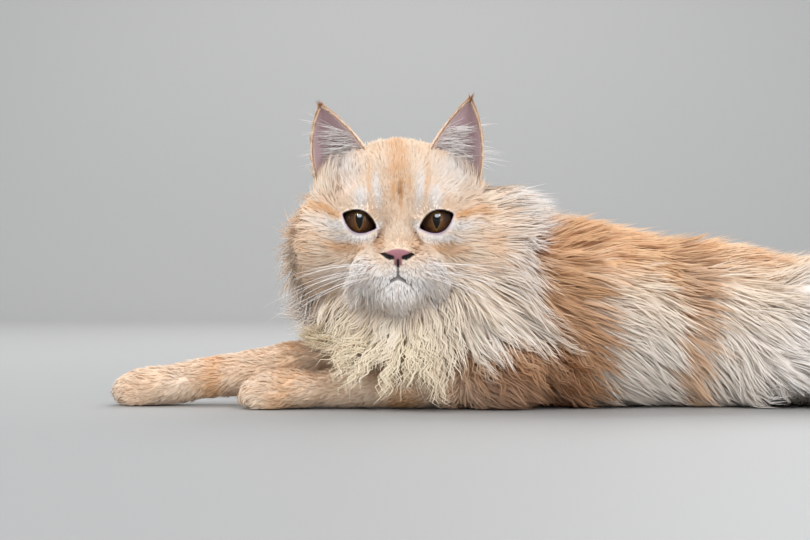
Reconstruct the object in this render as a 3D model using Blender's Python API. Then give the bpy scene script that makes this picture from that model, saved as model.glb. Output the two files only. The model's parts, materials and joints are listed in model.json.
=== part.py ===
"""A long-haired Persian cat lying at rest, life size, as one solid for each part of its body.

The cat is modelled as a sculptor packs clay: round masses, blended together, give a distance to the
skin at any point. Each part's surface is found by casting rays from its own axis out to that skin,
and its long coat is laid as flat tapered locks that follow the lie of the hair over the whole body.

The cat lies along +X with its head turned to look along -Y. Masses are placed in millimetres from the
point on the floor below the face, and the finished cat is moved so that its box stands on the origin.
"""

import math

import bmesh
import bpy
import numpy as np
from mathutils.bvhtree import BVHTree

MM = 0.001

# Driving dimensions, in millimetres
EYE_APART = 48.0
EYE_HEIGHT = 118.4
EYE_DEPTH = 10.5
EYE_RADIUS = 11.0
EYE_OPENING = (10.6, 7.4)
EYE_SLANT = math.radians(17)
SHOULDER = (110.0, 62.0)
SPINE_TURN = math.radians(11)
HIND_STANCE = 45.0
HEAD_CENTRE = (0.0, 42.0, 114.0)
NOSE = ((0.0, -14.5, 97.5), (8.4, 5.2, 6.0))
EAR_THICKNESS = 1.8

# Each length of the tail but the last ends where this coordinate, by axis number, falls to this value
TAIL_ENDS = {"tail_root": (1, 60.0), "tail_middle": (0, 368.0)}

# How far each part's solid stands off its skin, and how far its long coat reaches beyond that
CORE = {"head": 2.5, "neck": 7.0, "torso": 7.0, "foreleg": 3.0, "hindleg": 4.0, "tail": 6.0}
COAT = {"head": 10.0, "neck": 10.0, "torso": 10.5, "foreleg": 6.0, "hindleg": 11.0, "tail": 11.0}
RUFF_COAT = 20.0
BODY_SOFT = 14.0
GAP = 0.3
LOCK_GAP = 0.8
SEED = 11
# How many times a node's locks may be laid, until they join without touching along an edge
ATTEMPTS = 8


def unit(v):
    """Vectors of length one, for one vector or for rows of them."""
    return v / np.maximum(np.linalg.norm(v, axis=-1, keepdims=True), 1e-12)


def body_point(along, side, height):
    """A point in the trunk's own frame: along the spine from the shoulders, to the far side, and up."""
    c, s = math.cos(SPINE_TURN), math.sin(SPINE_TURN)
    return (SHOULDER[0] + along * c - side * s, SHOULDER[1] + along * s + side * c, height)


SPINE_WAY = np.array([math.cos(SPINE_TURN), math.sin(SPINE_TURN), 0.0])


def ball(centre, radii):
    """Distance to an ellipsoid, good near its surface."""
    centre, radii = np.array(centre, float), np.array(radii, float)

    def distance(p):
        q = (p - centre) / radii
        level = np.linalg.norm(q, axis=-1)
        slope = np.linalg.norm(q / radii, axis=-1)
        return level * (level - 1) / np.maximum(slope, 1e-9)

    return distance


def limb(start, end, r_start, r_end):
    """Distance to a rod with round ends whose radius changes evenly from start to end."""
    start, end = np.array(start, float), np.array(end, float)
    run = end - start

    def distance(p):
        t = np.clip((p - start) @ run / (run @ run), 0, 1)
        return np.linalg.norm(p - start - t[..., None] * run, axis=-1) - (r_start + t * (r_end - r_start))

    return distance


def blended(masses, soft):
    """Distance to several masses run together, with fillets of about the size soft."""

    def distance(p):
        found = masses[0](p)
        for mass in masses[1:]:
            other = mass(p)
            overlap = np.maximum(soft - np.abs(found - other), 0) / soft
            found = np.minimum(found, other) - overlap * overlap * soft / 4
        return found

    return distance


def slope_of(distance, p, step=0.4):
    """The way out of the skin at each point: the distance's gradient, at length one."""
    out = np.empty_like(p)
    for axis in range(3):
        ahead = np.zeros(3)
        ahead[axis] = step
        out[..., axis] = distance(p + ahead) - distance(p - ahead)
    return unit(out)


# The masses of each part

def head_masses():
    """A broad round skull, full cheeks, a short blunt muzzle and a small chin."""
    masses = [
        ball((0, 46, 130), (43, 42, 38)),
        ball((0, 32, 117), (44, 33, 30)),
        ball((0, 14, 93), (24, 26, 17)),
        ball((0, 23, 82), (26, 26, 16)),
        ball((0, 0, 75.5), (12.5, 11, 8.5)),
        limb((0, 3, 117), (0, -12, 98.5), 8.5, 6.3),
    ]
    for side in (-1, 1):
        masses.append(ball((side * 33, 38, 106), (22, 27, 24)))
        masses.append(ball((side * 12, -3, 89), (14.5, 12.5, 10)))
        masses.append(ball((side * 20, 10, 131), (15, 8, 8)))
        masses.append(ball((side * EYE_APART / 2, EYE_DEPTH, EYE_HEIGHT), (13.4, 12.6, 13.0)))
    return masses


def foreleg_masses(elbow, mid, wrist, paw, toes):
    """Forearm, wrist and a broad paw with four toes side by side, all on the floor."""
    masses = [
        limb(elbow, mid, 17.5, 14.5),
        limb(mid, wrist, 14.5, 11),
        ball(paw, (25, 16, 11.5)),
    ]
    for place, reach in ((-11.5, -3), (-4, 0.5), (4, 0.5), (11.5, -3)):
        masses.append(ball((toes[0] - reach, toes[1] + place, 9), (13, 5.2, 9.0)))
    return masses


def hindleg_masses(side):
    """Thigh, knee, shin folded under it, and the long foot flat on the floor."""
    stance = side * HIND_STANCE
    masses = [
        ball(body_point(170, side * 38, 41), (54, 23, 38)),
        ball(body_point(126, stance * 0.93, 33), (21, 16, 25)),
        limb(body_point(128, stance, 22), body_point(225, stance, 17), 15, 12),
        limb(body_point(236, stance * 0.95, 12), body_point(188, stance * 1.04, 11), 10, 11),
        ball(body_point(177, stance * 1.06, 11), (17, 13, 10.5)),
    ]
    for place in (-9, -3, 3, 9):
        masses.append(ball(body_point(165, stance * 1.08 + place, 7.5), (9, 4.4, 7.2)))
    return masses


TAIL_PATH = [
    body_point(222, 4, 34),
    (368, 110, 26),
    (400, 86, 22),
    (412, 47, 20),
    (397, 9, 19),
    (362, -14, 18),
    (322, -22, 17),
    (296, -23, 16),
]
TAIL_RADII = [14, 11, 10, 9.5, 9, 8, 6.5, 4]


def tail_masses():
    """A thick short tail laid on the floor, curling towards the near side."""
    return [
        limb(TAIL_PATH[i], TAIL_PATH[i + 1], TAIL_RADII[i], TAIL_RADII[i + 1])
        for i in range(len(TAIL_PATH) - 1)
    ]


COLLAR = ((6, 66, 96), (59, 28, 50))
BIB = ((14, 38, 62), (46, 24, 30))
NECK_PATH = [(-12, 69, 97), (55, 67, 84), (104, 62, 62)]

PARTS = {
    "head": blended([blended(head_masses(), 9), ball(*NOSE)], 2.5),
    "neck": blended(
        [
            ball(*COLLAR),
            ball(*BIB),
            limb((30, 72, 92), (60, 67, 82), 36, 39),
            limb((60, 67, 82), (104, 62, 62), 39, 40),
        ],
        14,
    ),
    "torso": blended(
        [
            limb((22, 60, 60), (50, 62, 47), 27, 35),
            limb((50, 62, 47), body_point(0, 0, 57), 35, 47),
            limb(body_point(0, 0, 57), body_point(95, 0, 47), 48, 44),
            limb(body_point(95, 0, 47), body_point(180, 0, 41), 44, 37),
            limb(body_point(180, 0, 41), body_point(222, 0, 38), 38, 31),
            ball(body_point(10, -28, 70), (36, 17, 27)),
            ball(body_point(10, 28, 70), (36, 17, 27)),
            limb((50, 32, 58), (72, 28, 30), 24, 18),
            limb((52, 94, 58), (30, 88, 44), 24, 21),
        ],
        16,
    ),
    "foreleg_left": blended(
        foreleg_masses((70, 25, 22), (10, 28, 18), (-42, 30, 13), (-68, 30, 12.3), (-86, 30)), 7
    ),
    "foreleg_right": blended(
        [limb((48, 84, 50), (-10, 73, 33), 22, 20)]
        + foreleg_masses((-10, 73, 33), (-70, 70, 24), (-136, 65, 16.5), (-154, 64, 12.8), (-171, 64)),
        7,
    ),
    "hindleg_left": blended(hindleg_masses(-1), 9),
    "hindleg_right": blended(hindleg_masses(1), 9),
    "tail": blended(tail_masses(), 4),
}


def kind_of(name):
    """The part's kind, without its side."""
    return name.split("_")[0]


def ruff_share(p):
    """Where the ruff is full: 1 beside and below the face, 0 on the nape and towards the shoulders."""
    return np.clip((100 - p[..., 0]) / 62, 0, 1) * np.clip((158 - p[..., 2]) / 40, 0, 1)


def bareness(p):
    """How nearly bare the skin is, from 0 under fur to 1 at the lids, the nose leather and the lips."""
    spots = [((side * EYE_APART / 2, 0, EYE_HEIGHT), 13) for side in (-1, 1)]
    spots += [((0, -18, 96), 9), ((0, -14, 86), 7)]
    return np.max([np.exp(-(np.linalg.norm(p - np.array(c), axis=-1) / r) ** 2) for c, r in spots], axis=0)


def solid(name, p):
    """Distance to a part's solid without its locks."""
    level = CORE[kind_of(name)]
    if name == "head":
        level = level * (1 - bareness(p))
    return PARTS[name](p) - level


def body(p):
    """Distance to the solids of the whole cat without their locks, run together where they meet."""
    return blended([lambda q, name=name: solid(name, q) for name in PARTS], BODY_SOFT)(p)


# Surfaces, found by casting rays out of an axis

def cast(distance, origins, ways, level):
    """Where rays that start inside a part leave it, at a stated height above its skin."""
    reach = np.zeros(len(origins))
    for _ in range(60):
        reach += 0.85 * (level - distance(origins + reach[:, None] * ways))
    return origins + reach[:, None] * ways


def axis_at(path, t):
    """A point at a share t of the way along a smooth line through the path's points, and its heading."""
    path = np.array(path, float)
    if len(path) < 3:
        return path[0] + t * (path[-1] - path[0]), unit(path[-1] - path[0])
    ends = np.vstack([2 * path[0] - path[1], path, 2 * path[-1] - path[-2]])
    place = min(t, 0.999999) * (len(path) - 1)
    i, u = int(place), place - int(place)
    a, b, c, d = ends[i : i + 4]
    point = 0.5 * (2 * b + (c - a) * u + (2 * a - 5 * b + 4 * c - d) * u**2 + (3 * b - a - 3 * c + d) * u**3)
    heading = 0.5 * ((c - a) + 2 * (2 * a - 5 * b + 4 * c - d) * u + 3 * (3 * b - a - 3 * c + d) * u**2)
    return point, unit(heading)


def wrap(distance, path, level, rings, sides, cap):
    """The points of a closed skin round an axis: rows of rings, with cap rows rounding off each end."""
    rows = []
    leans = [math.radians(90 * (k + 1) / (cap + 1)) for k in range(cap)]
    stations = [(0.0, -lean) for lean in reversed(leans)]
    stations += [(i / (rings - 1), 0.0) for i in range(rings)]
    stations += [(1.0, lean) for lean in leans]
    for t, lean in stations:
        point, heading = axis_at(path, t)
        across = unit(np.cross(heading, (0.0, 0.0, 1.0)))
        above = np.cross(across, heading)
        turn = 2 * np.pi * np.arange(sides) / sides
        ways = np.cos(turn)[:, None] * across + np.sin(turn)[:, None] * above
        ways = math.cos(lean) * ways + math.sin(lean) * heading
        rows.append(cast(distance, np.tile(point, (sides, 1)), unit(ways), level))
    ends = []
    for t, sign in ((0.0, -1), (1.0, 1)):
        point, heading = axis_at(path, t)
        ends.append(cast(distance, point[None], sign * heading[None], level)[0])
    return rows, ends


def on_floor(p, height=0.0):
    """Points lifted to the floor, so that what lies on it is flat underneath."""
    p = np.array(p)
    p[..., 2] = np.maximum(p[..., 2], height)
    return p


def add_object(name, points, faces):
    """A mesh object in the scene, from points in millimetres."""
    mesh = bpy.data.meshes.new(name)
    mesh.from_pydata([tuple(float(x) for x in p * MM) for p in points], [], faces)
    obj = bpy.data.objects.new(name, mesh)
    bpy.context.scene.collection.objects.link(obj)
    return obj


def tube_faces(rows, sides):
    """Triangles between rows of a tube, and those that close it onto a point at each end."""
    faces = []
    first, last = rows * sides, rows * sides + 1
    for j in range(sides):
        k = (j + 1) % sides
        faces.append((first, j, k))
        for i in range(rows - 1):
            a, b = i * sides + j, i * sides + k
            faces += [(a, a + sides, b + sides), (a, b + sides, b)]
        faces.append((last, (rows - 1) * sides + k, (rows - 1) * sides + j))
    return faces


def face_out(obj):
    """Turns the faces outwards."""
    bm = bmesh.new()
    bm.from_mesh(obj.data)
    bmesh.ops.recalc_face_normals(bm, faces=bm.faces)
    bm.to_mesh(obj.data)
    bm.free()
    return obj


def core(name, extra=0.0):
    """A part's solid without its locks, grown by extra."""
    path, rings, sides, cap = AXES[name]
    rows, ends = wrap(lambda p: solid(name, p), path, extra, rings, sides, cap)
    points = on_floor(np.vstack(rows + [np.array(ends)]), -extra)
    return face_out(add_object(name, points, tube_faces(len(rows), sides)))


# Booleans

# Edges shorter than the first of these that leaves the surface whole are closed up, in millimetres
MERGES = (0.1, 0.07, 0.05, 0.03, 0.02, 0.01, 0.005, 0.0)
FINEST = 0.001


def combine(obj, others, operation):
    """Joins or cuts obj with a list of closed mesh objects, which are then removed."""
    if others:
        group = bpy.data.collections.new("tools")
        bpy.context.scene.collection.children.link(group)
        for other in others:
            group.objects.link(other)
        modifier = obj.modifiers.new("combine", "BOOLEAN")
        modifier.operation = operation
        modifier.operand_type = "COLLECTION"
        modifier.collection = group
        modifier.solver = "MANIFOLD"
        graph = bpy.context.evaluated_depsgraph_get()
        made = bpy.data.meshes.new_from_object(obj.evaluated_get(graph))
        obj.modifiers.clear()
        obj.data = made
        for other in others:
            bpy.data.objects.remove(other)
        bpy.data.collections.remove(group)
    return obj


def pieces_of(bm):
    """The faces of each closed surface in a mesh."""
    left, pieces = set(bm.faces), []
    while left:
        piece, edge = [], [left.pop()]
        while edge:
            face = edge.pop()
            piece.append(face)
            for near in face.edges:
                for other in near.link_faces:
                    if other in left:
                        left.remove(other)
                        edge.append(other)
        pieces.append(piece)
    return pieces


def room(piece):
    """Six times the volume that a closed piece encloses."""
    return abs(np.linalg.det(np.array([[v.co[:] for v in f.verts] for f in piece])).sum())


def is_whole(bm):
    """Whether every edge has two faces, also where two edges lie in the same place."""
    seen = {}
    for face in bm.faces:
        corners = [tuple(round(x / (FINEST * MM)) for x in v.co) for v in face.verts]
        for a, b in zip(corners, corners[1:] + corners[:1]):
            if a == b:
                return False
            edge = (min(a, b), max(a, b))
            seen[edge] = seen.get(edge, 0) + 1
    return all(count == 2 for count in seen.values())


def keep_largest(obj):
    """Leaves only the closed surface with the most room in it, without its finest slivers, and says
    whether that could be done with no edge that touches another."""
    for merge in MERGES:
        bm = bmesh.new()
        bm.from_mesh(obj.data)
        bmesh.ops.triangulate(bm, faces=bm.faces)
        bmesh.ops.dissolve_degenerate(bm, dist=merge * MM, edges=bm.edges)
        bmesh.ops.triangulate(bm, faces=bm.faces)
        pieces = sorted(pieces_of(bm), key=room)
        bmesh.ops.delete(bm, geom=[f for piece in pieces[:-1] for f in piece], context="FACES")
        whole = is_whole(bm)
        if whole:
            bm.to_mesh(obj.data)
        bm.free()
        if whole:
            return True
    return False


# Head, ears and eyes

def head_surface(p):
    """Distance to the head with its short fur, which thins out round the eyes, nose and lips."""
    return solid("head", p)


FACE_ROWS, BACK_ROWS, HEAD_SIDES = 13, 5, 34
FACE_REACH = math.radians(66)


def head_core(extra=0.0):
    """The head, by rays from its centre: close together over the face, and wider apart behind it."""
    centre = np.array(HEAD_CENTRE)
    polar = [FACE_REACH * (k + 1) / FACE_ROWS for k in range(FACE_ROWS)]
    polar += [FACE_REACH + (math.pi - FACE_REACH) * (k + 1) / (BACK_ROWS + 1) for k in range(BACK_ROWS)]
    turn = 2 * np.pi * np.arange(HEAD_SIDES) / HEAD_SIDES
    rows = []
    for angle in polar:
        ways = np.stack(
            [np.sin(angle) * np.cos(turn), np.full(HEAD_SIDES, -math.cos(angle)), np.sin(angle) * np.sin(turn)], 1
        )
        rows.append(cast(head_surface, np.tile(centre, (HEAD_SIDES, 1)), ways, extra))
    poles = [cast(head_surface, centre[None], np.array([[0, -sign, 0.0]]), extra)[0] for sign in (1, -1)]
    return face_out(add_object("head", np.vstack(rows + [np.array(poles)]), tube_faces(len(rows), HEAD_SIDES)))


def eye_centre(side):
    return np.array([side * EYE_APART / 2, EYE_DEPTH, EYE_HEIGHT])


def eye(side, extra=0.0):
    """The eyeball, its middle row facing forward."""
    bm = bmesh.new()
    bmesh.ops.create_uvsphere(bm, u_segments=16, v_segments=8, radius=EYE_RADIUS + extra)
    points = [np.array([v.co.x, -v.co.z, v.co.y]) + eye_centre(side) for v in bm.verts]
    faces = [[v.index for v in f.verts] for f in bm.faces]
    bm.free()
    return face_out(add_object("eye", points, faces))


def eye_opening(side):
    """A cutter for the gap between the lids: an almond that slants down to the nose, from the front to the eye."""
    front, back, count = -30.0, 8.0, 18
    points = []
    for depth in (front, back):
        for k in range(count):
            turn = 2 * math.pi * k / count
            x = EYE_OPENING[0] * math.cos(turn)
            z = EYE_OPENING[1] * math.sin(turn) * (0.72 if math.sin(turn) > 0 else 1.0)
            c, s = math.cos(EYE_SLANT), math.sin(EYE_SLANT)
            centre = eye_centre(side)
            points.append(np.array([centre[0] + side * (x * c - z * s), depth, centre[2] + x * s + z * c]))
    faces = [list(range(count)), list(range(2 * count - 1, count - 1, -1))]
    faces += [(k, (k + 1) % count, (k + 1) % count + count, k + count) for k in range(count)]
    return face_out(add_object("opening", points, faces))


def tube(points, radii, sides=6):
    """A closed tube through points, for grooves cut in a surface."""
    points, rows = np.array(points, float), []
    for k, point in enumerate(points):
        heading = unit(points[min(k + 1, len(points) - 1)] - points[max(k - 1, 0)])
        across = unit(np.cross(heading, (0.13, 1.0, 0.21)))
        above = np.cross(across, heading)
        for j in range(sides):
            turn = 2 * math.pi * j / sides
            rows.append(point + radii[k] * (math.cos(turn) * across + math.sin(turn) * above))
    return face_out(add_object("tube", rows + [points[0], points[-1]], tube_faces(len(points), sides)))


def on_head(points):
    """Points brought straight in or out from the head's centre onto its surface."""
    points = np.array(points, float)
    centre = np.tile(np.array(HEAD_CENTRE), (len(points), 1))
    return cast(head_surface, centre, unit(points - centre), 0.0)


def face_cutters():
    """The split lip below the nose, the line of the mouth from corner to corner, and the nostrils."""
    mouth = [(-22, 0, 77.4, 0.6), (-17, -6, 77.0, 1.1), (-11, -11, 78.3, 1.3), (-5, -14, 80.8, 1.3)]
    mouth += [(0, -14, 82.5, 1.1)] + [(-x, y, z, r) for x, y, z, r in reversed(mouth)]
    lip = [(0, -18, 92.5, 0.8), (0, -15, 88, 0.9), (0, -14, 84.5, 1.0)]
    lines = [mouth, lip]
    for side in (-1, 1):
        lines.append([(side * 3.0, -19, 96.0, 1.2), (side * 5.0, -18, 95.8, 1.5), (side * 7.6, -15, 97.2, 0.6)])
    return [tube(on_head([p[:3] for p in line]), [p[3] for p in line]) for line in lines]


# Where the middle toes of each forepaw begin to part
PAWS = {"foreleg_left": (-78, 30), "foreleg_right": (-163, 64)}


def toe_cutters(name):
    """The three creases between the toes of a forepaw, from its top down over its front."""
    x, y = PAWS[name]
    leans = np.radians([10, 38, 62, 82, 100])
    ways = np.stack([-np.sin(leans), np.zeros(5), np.cos(leans)], 1)
    cutters = []
    for place in (-8, 0, 8):
        start = np.tile([x, y + place, 9.0], (5, 1))
        line = cast(lambda q: solid(name, q), start, ways, 0.0)
        cutters.append(tube(line, [0.5, 1.1, 1.3, 1.3, 1.1]))
    return cutters


EAR_IN = (19.0, 34.0, 163.0)
EAR_OUT = (50.0, 50.0, 140.0)
EAR_TIP = (46.0, 41.0, 195.0)
EAR_LENGTH, EAR_WIDTH = 50.0, 20.0
EAR_SUNK, EAR_TOP = -0.22, 0.92
EAR_ROWS, EAR_SPAN = 8, 8


def ear_point(side, up, across):
    """A point of the ear's sheet: up from 0 at its root to 1 at its tip, across from the inner rim to the outer."""
    inner, outer, tip = (np.array(p) for p in (EAR_IN, EAR_OUT, EAR_TIP))
    bow = 4 * up * (1 - up)
    a = inner + (tip - inner) * up + bow * np.array([-1.5, -1.0, 1.5])
    b = outer + (tip - outer) * up + bow * np.array([5.5, 0.0, 1.0])
    cup = np.array([0.1, 1.0, 0.15]) * 0.46 * np.linalg.norm(b - a)
    point = a * (1 - across) + b * across + cup * 4 * across * (1 - across)
    return point * np.array([side, 1, 1])


def ear_shell(side, extra=0.0):
    """The cup of the ear, a bent sheet of even thickness, its root sunk into the head."""
    high = EAR_TOP + 2 * extra / EAR_LENGTH
    edge = 2 * extra / EAR_WIDTH
    ups = [EAR_SUNK + (high - EAR_SUNK) * k / (EAR_ROWS - 1) for k in range(EAR_ROWS)]
    spans = [-edge + (1 + 2 * edge) * k / (EAR_SPAN - 1) for k in range(EAR_SPAN)]
    sheet = np.array([[ear_point(side, u, a) for a in spans] for u in ups])
    along = np.gradient(sheet, axis=0)
    over = np.gradient(sheet, axis=1)
    normal = unit(np.cross(along, over)) * side
    half = EAR_THICKNESS / 2 + extra
    points = np.concatenate([(sheet + normal * half).reshape(-1, 3), (sheet - normal * half).reshape(-1, 3)])
    count, faces = EAR_ROWS * EAR_SPAN, []
    for i in range(EAR_ROWS - 1):
        for j in range(EAR_SPAN - 1):
            a = i * EAR_SPAN + j
            faces.append((a, a + 1, a + 1 + EAR_SPAN))
            faces.append((a, a + 1 + EAR_SPAN, a + EAR_SPAN))
            faces.append((count + a, count + a + 1 + EAR_SPAN, count + a + 1))
            faces.append((count + a, count + a + EAR_SPAN, count + a + 1 + EAR_SPAN))
    rim = [j for j in range(EAR_SPAN)] + [i * EAR_SPAN + EAR_SPAN - 1 for i in range(1, EAR_ROWS)]
    rim += [(EAR_ROWS - 1) * EAR_SPAN + j for j in range(EAR_SPAN - 2, -1, -1)]
    rim += [i * EAR_SPAN for i in range(EAR_ROWS - 2, 0, -1)]
    for k, a in enumerate(rim):
        b = rim[(k + 1) % len(rim)]
        faces += [(a, b, b + count), (a, b + count, a + count)]
    return face_out(add_object("ear", points, faces))


# The long coat

def sample_surface(obj, count, rng):
    """Points spread at random over a mesh, in millimetres, as many per area everywhere."""
    mesh = obj.data
    mesh.calc_loop_triangles()
    corners = np.array([[mesh.vertices[i].co[:] for i in t.vertices] for t in mesh.loop_triangles]) / MM
    area = np.linalg.norm(np.cross(corners[:, 1] - corners[:, 0], corners[:, 2] - corners[:, 0]), axis=1)
    chosen = rng.choice(len(corners), size=count, p=area / area.sum())
    u, v = rng.random(count), rng.random(count)
    over = u + v > 1
    u[over], v[over] = 1 - u[over], 1 - v[over]
    a, b, c = corners[chosen, 0], corners[chosen, 1], corners[chosen, 2]
    return a + u[:, None] * (b - a) + v[:, None] * (c - a)


def away_from_face(p, back=0.5, down=0.5):
    """The lie of the hair on cheeks and ruff: out from the middle of the face, backwards and down."""
    way = p - np.array([0.0, 0.0, 108.0])
    way[:, 1] = 0
    return unit(way) + np.array([0.0, back, -down])


def down_the_body(p):
    """The lie of the hair on the trunk: towards the tail, and down over the flanks."""
    side = np.abs((p[:, :2] - np.array(SHOULDER)) @ np.array([-SPINE_WAY[1], SPINE_WAY[0]]))
    fall = np.clip(side / 50, 0, 1) * np.clip(1.25 - p[:, 2] / 110, 0, 1)
    return SPINE_WAY - np.array([0, 0, 1.0]) * fall[:, None] * 1.1


def down_the_bib(p):
    """The lie of the hair on the chest below the chin: straight down, a little forward and to the sides."""
    way = np.zeros_like(p)
    way[:, 0] = np.clip((p[:, 0] - 15) / 60, -0.5, 0.8)
    way[:, 1] = -0.15
    way[:, 2] = -1
    return way


def neck_lie(p):
    """Ruff hair runs away from the face, turns to hang below the chin, and runs back along the nape."""
    ruff = unit(away_from_face(p, back=0.35, down=0.8))
    bib = unit(down_the_bib(p))
    back = unit(down_the_body(p))
    low = np.clip((88 - p[:, 2]) / 30, 0, 1)[:, None] * np.clip((75 - p[:, 1]) / 30, 0, 1)[:, None]
    rear = np.clip((p[:, 0] - 25) / 60, 0, 1)[:, None]
    return ruff * (1 - low) * (1 - rear) + bib * low * (1 - 0.6 * rear) + back * rear * (1 - 0.4 * low)


def along_path(path, p):
    """The heading of the nearest stretch of a path."""
    path = np.array(path, float)
    ways = unit(path[1:] - path[:-1])
    middles = (path[1:] + path[:-1]) / 2
    nearest = np.argmin(np.linalg.norm(p[:, None] - middles[None], axis=2), axis=1)
    return ways[nearest]


def torso_lie(p):
    """Chest hair hangs, and the rest runs down the body."""
    front = np.clip((62 - p[:, 0]) / 30, 0, 1)[:, None]
    return unit(down_the_body(p)) * (1 - front) + unit(down_the_bib(p)) * front


# For each coated part: the lie of its hair, and its locks' spacing, length and half width
COATS = {
    "head": dict(lie=away_from_face, spacing=14, length=30, width=7.5),
    "neck": dict(lie=neck_lie, spacing=20.5, length=46, width=10.5),
    "torso": dict(lie=torso_lie, spacing=33, length=58, width=15),
    "hindleg": dict(lie=down_the_body, spacing=22, length=42, width=11.5),
    "foreleg": dict(lie=down_the_body, spacing=14, length=24, width=6.5),
    "tail": dict(lie=lambda p: along_path(TAIL_PATH, p), spacing=24, length=46, width=11),
}
RISE = (0.0, 0.45, 0.85, 1.0)
FALL = (0.55, 1.0, 0.78, 0.0)
ABOVE = (1.5, 2.0, 1.4, 0.0)
ROOT_SUNK = 3.0
FOOT_SUNK = 2.0
FOOT_DEEPEST = 8.5
FLOOR_CLEAR = 1.2
TAKEN_SHARE = 0.6
CANDIDATES = 1500
LENGTH_SHARES = (1.0, 0.7)


def coated(name, p):
    """Which points of a part's surface grow long hair."""
    x, y, z = p.T
    own = {
        "head": (y > 20) & (np.abs(x) > 30) & (z < 138) & (z > 70),
        "neck": z > 12,
        "torso": z > 9,
        "hindleg": z > 26,
        "foreleg": (x > 42) & (z > 12),
        "tail": z > 8,
    }[kind_of(name)]
    others = [solid(other, p) for other in PARTS if other != name]
    return own & (np.min(others, axis=0) > 0.5) & (solid(name, p) > -5)


def lay_locks(name, roots, share, rng):
    """Lines of locks, one for each root, marched over the body along the coat's lie: places, outward
    directions, half width and how deep each section reaches. Their length is a share of the usual."""
    coat, count = COATS[kind_of(name)], len(roots)
    length = share * coat["length"] * rng.uniform(0.82, 1.18, count)
    width = coat["width"] * rng.uniform(0.85, 1.12, count)
    height = COAT[kind_of(name)] + (RUFF_COAT * ruff_share(roots) if name == "neck" else 0)
    height = height * rng.uniform(0.86, 1.08, count)
    sway = rng.normal(0, 0.16, (count, 3))
    out = slope_of(lambda q: solid(name, q), roots)
    p = roots - out * ROOT_SUNK
    line, outs = [p], [out]
    for k in range(1, len(RISE)):
        way = unit(coat["lie"](p) + sway)
        way = unit(way - out * np.sum(way * out, axis=1, keepdims=True) * 0.9)
        p = p + way * (length / (len(RISE) - 1))[:, None]
        for _ in range(2):
            out = slope_of(body, p)
            p = p + out * (height * RISE[k] - body(p))[:, None] * 0.9
        p = on_floor(p, FLOOR_CLEAR + ABOVE[k])
        out = unit(out + outs[-1])
        line.append(p)
        outs.append(out)
    line, outs = np.array(line).transpose(1, 0, 2), np.array(outs).transpose(1, 0, 2)
    foot = np.minimum(height * RISE[1] + FOOT_SUNK, FOOT_DEEPEST)
    below = np.array([ABOVE[0] * np.ones(count), foot, ABOVE[2] * np.ones(count)]).T
    below = np.minimum(below, line[:, :-1, 2] - FLOOR_CLEAR)
    return list(zip(line, outs, width, below))


def lock(line, outs, width, below, extra=0.0):
    """One flat tapered lock, grown by extra: four-sided sections from a root that is sunk in the core,
    over a foot that stands on the core, to a free point."""
    points, last = [], len(line) - 1
    for k in range(last):
        heading = unit(line[k + 1] - line[max(k - 1, 0)])
        across = unit(np.cross(heading, outs[k]))
        above = np.cross(across, heading)
        half = width * FALL[k] + extra
        points += [line[k] + across * half, line[k] + above * (ABOVE[k] + extra)]
        points += [line[k] - across * half, line[k] - above * (below[k] + extra)]
    points.append(line[last] + unit(line[last] - line[last - 1]) * extra * 6)
    faces = [(0, 1, 3), (1, 2, 3)]
    for k in range(last - 1):
        for j in range(4):
            a, b = 4 * k + j, 4 * k + (j + 1) % 4
            faces += [(a, a + 4, b + 4), (a, b + 4, b)]
    top = 4 * (last - 1)
    faces += [(top + j, 4 * last, top + (j + 1) % 4) for j in range(4)]
    points = on_floor(np.array(points), FLOOR_CLEAR - extra)
    return face_out(add_object("lock", points, faces))


# Long hair that fills each ear and sweeps out past its outer rim: how far up the ear, its reach and rise
EAR_LOCKS = ((0.04, 20, -4), (0.18, 19, 3), (0.34, 14, 10))
EAR_LOCK_WIDTH = 3.6


def ear_locks(side):
    """Lines for the locks in one ear, from the inner side of its cup forward and then outwards."""
    lines = []
    for up, reach, rise in EAR_LOCKS:
        root = ear_point(side, up, 0.30)
        front = root + np.array([side * 3, -9, 1])
        swing = np.array([side * reach, -1.5, rise])
        line = np.array([root, front, front + swing * 0.8, front + swing * 1.6 + np.array([0, 0, 3])])
        outs = np.array([(-side, 0, 0), (0, -1, 0), (0, -1, 0), (0, -1, 0)], float)
        lines.append((line, outs, EAR_LOCK_WIDTH, ABOVE))
    return lines


# The nodes, in the order in which they are made: each is cut clear of those before it
AXES = {
    "foreleg_left": ([(62, 26, 23), (10, 28, 19), (-44, 30, 14), (-84, 30, 11)], 11, 13, 4),
    "foreleg_right": ([(40, 82, 48), (-10, 73, 31), (-70, 70, 23), (-136, 65, 15), (-170, 64, 11)], 14, 13, 4),
    "neck": (NECK_PATH, 6, 18, 3),
    "hindleg_left": ([body_point(158, -42, 25), body_point(212, -42, 25)], 5, 14, 3),
    "hindleg_right": ([body_point(158, 42, 25), body_point(212, 42, 25)], 5, 14, 3),
    "tail": (TAIL_PATH, 15, 8, 2),
    "torso": (
        [(28, 60, 56), (60, 62, 50)] + [body_point(along, 0, 48) for along in (10, 60, 110, 160, 212)],
        12,
        18,
        2,
    ),
}
ORDER = (
    "eye_left",
    "eye_right",
    "head",
    "ear_left",
    "ear_right",
    "foreleg_left",
    "foreleg_right",
    "neck",
    "hindleg_left",
    "hindleg_right",
    "tail_root",
    "tail_middle",
    "tail_tip",
    "torso",
)
# On the head, which looks at the viewer, the cat's left is at +X
HEAD_SIDE = {"left": 1, "right": -1}

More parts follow.
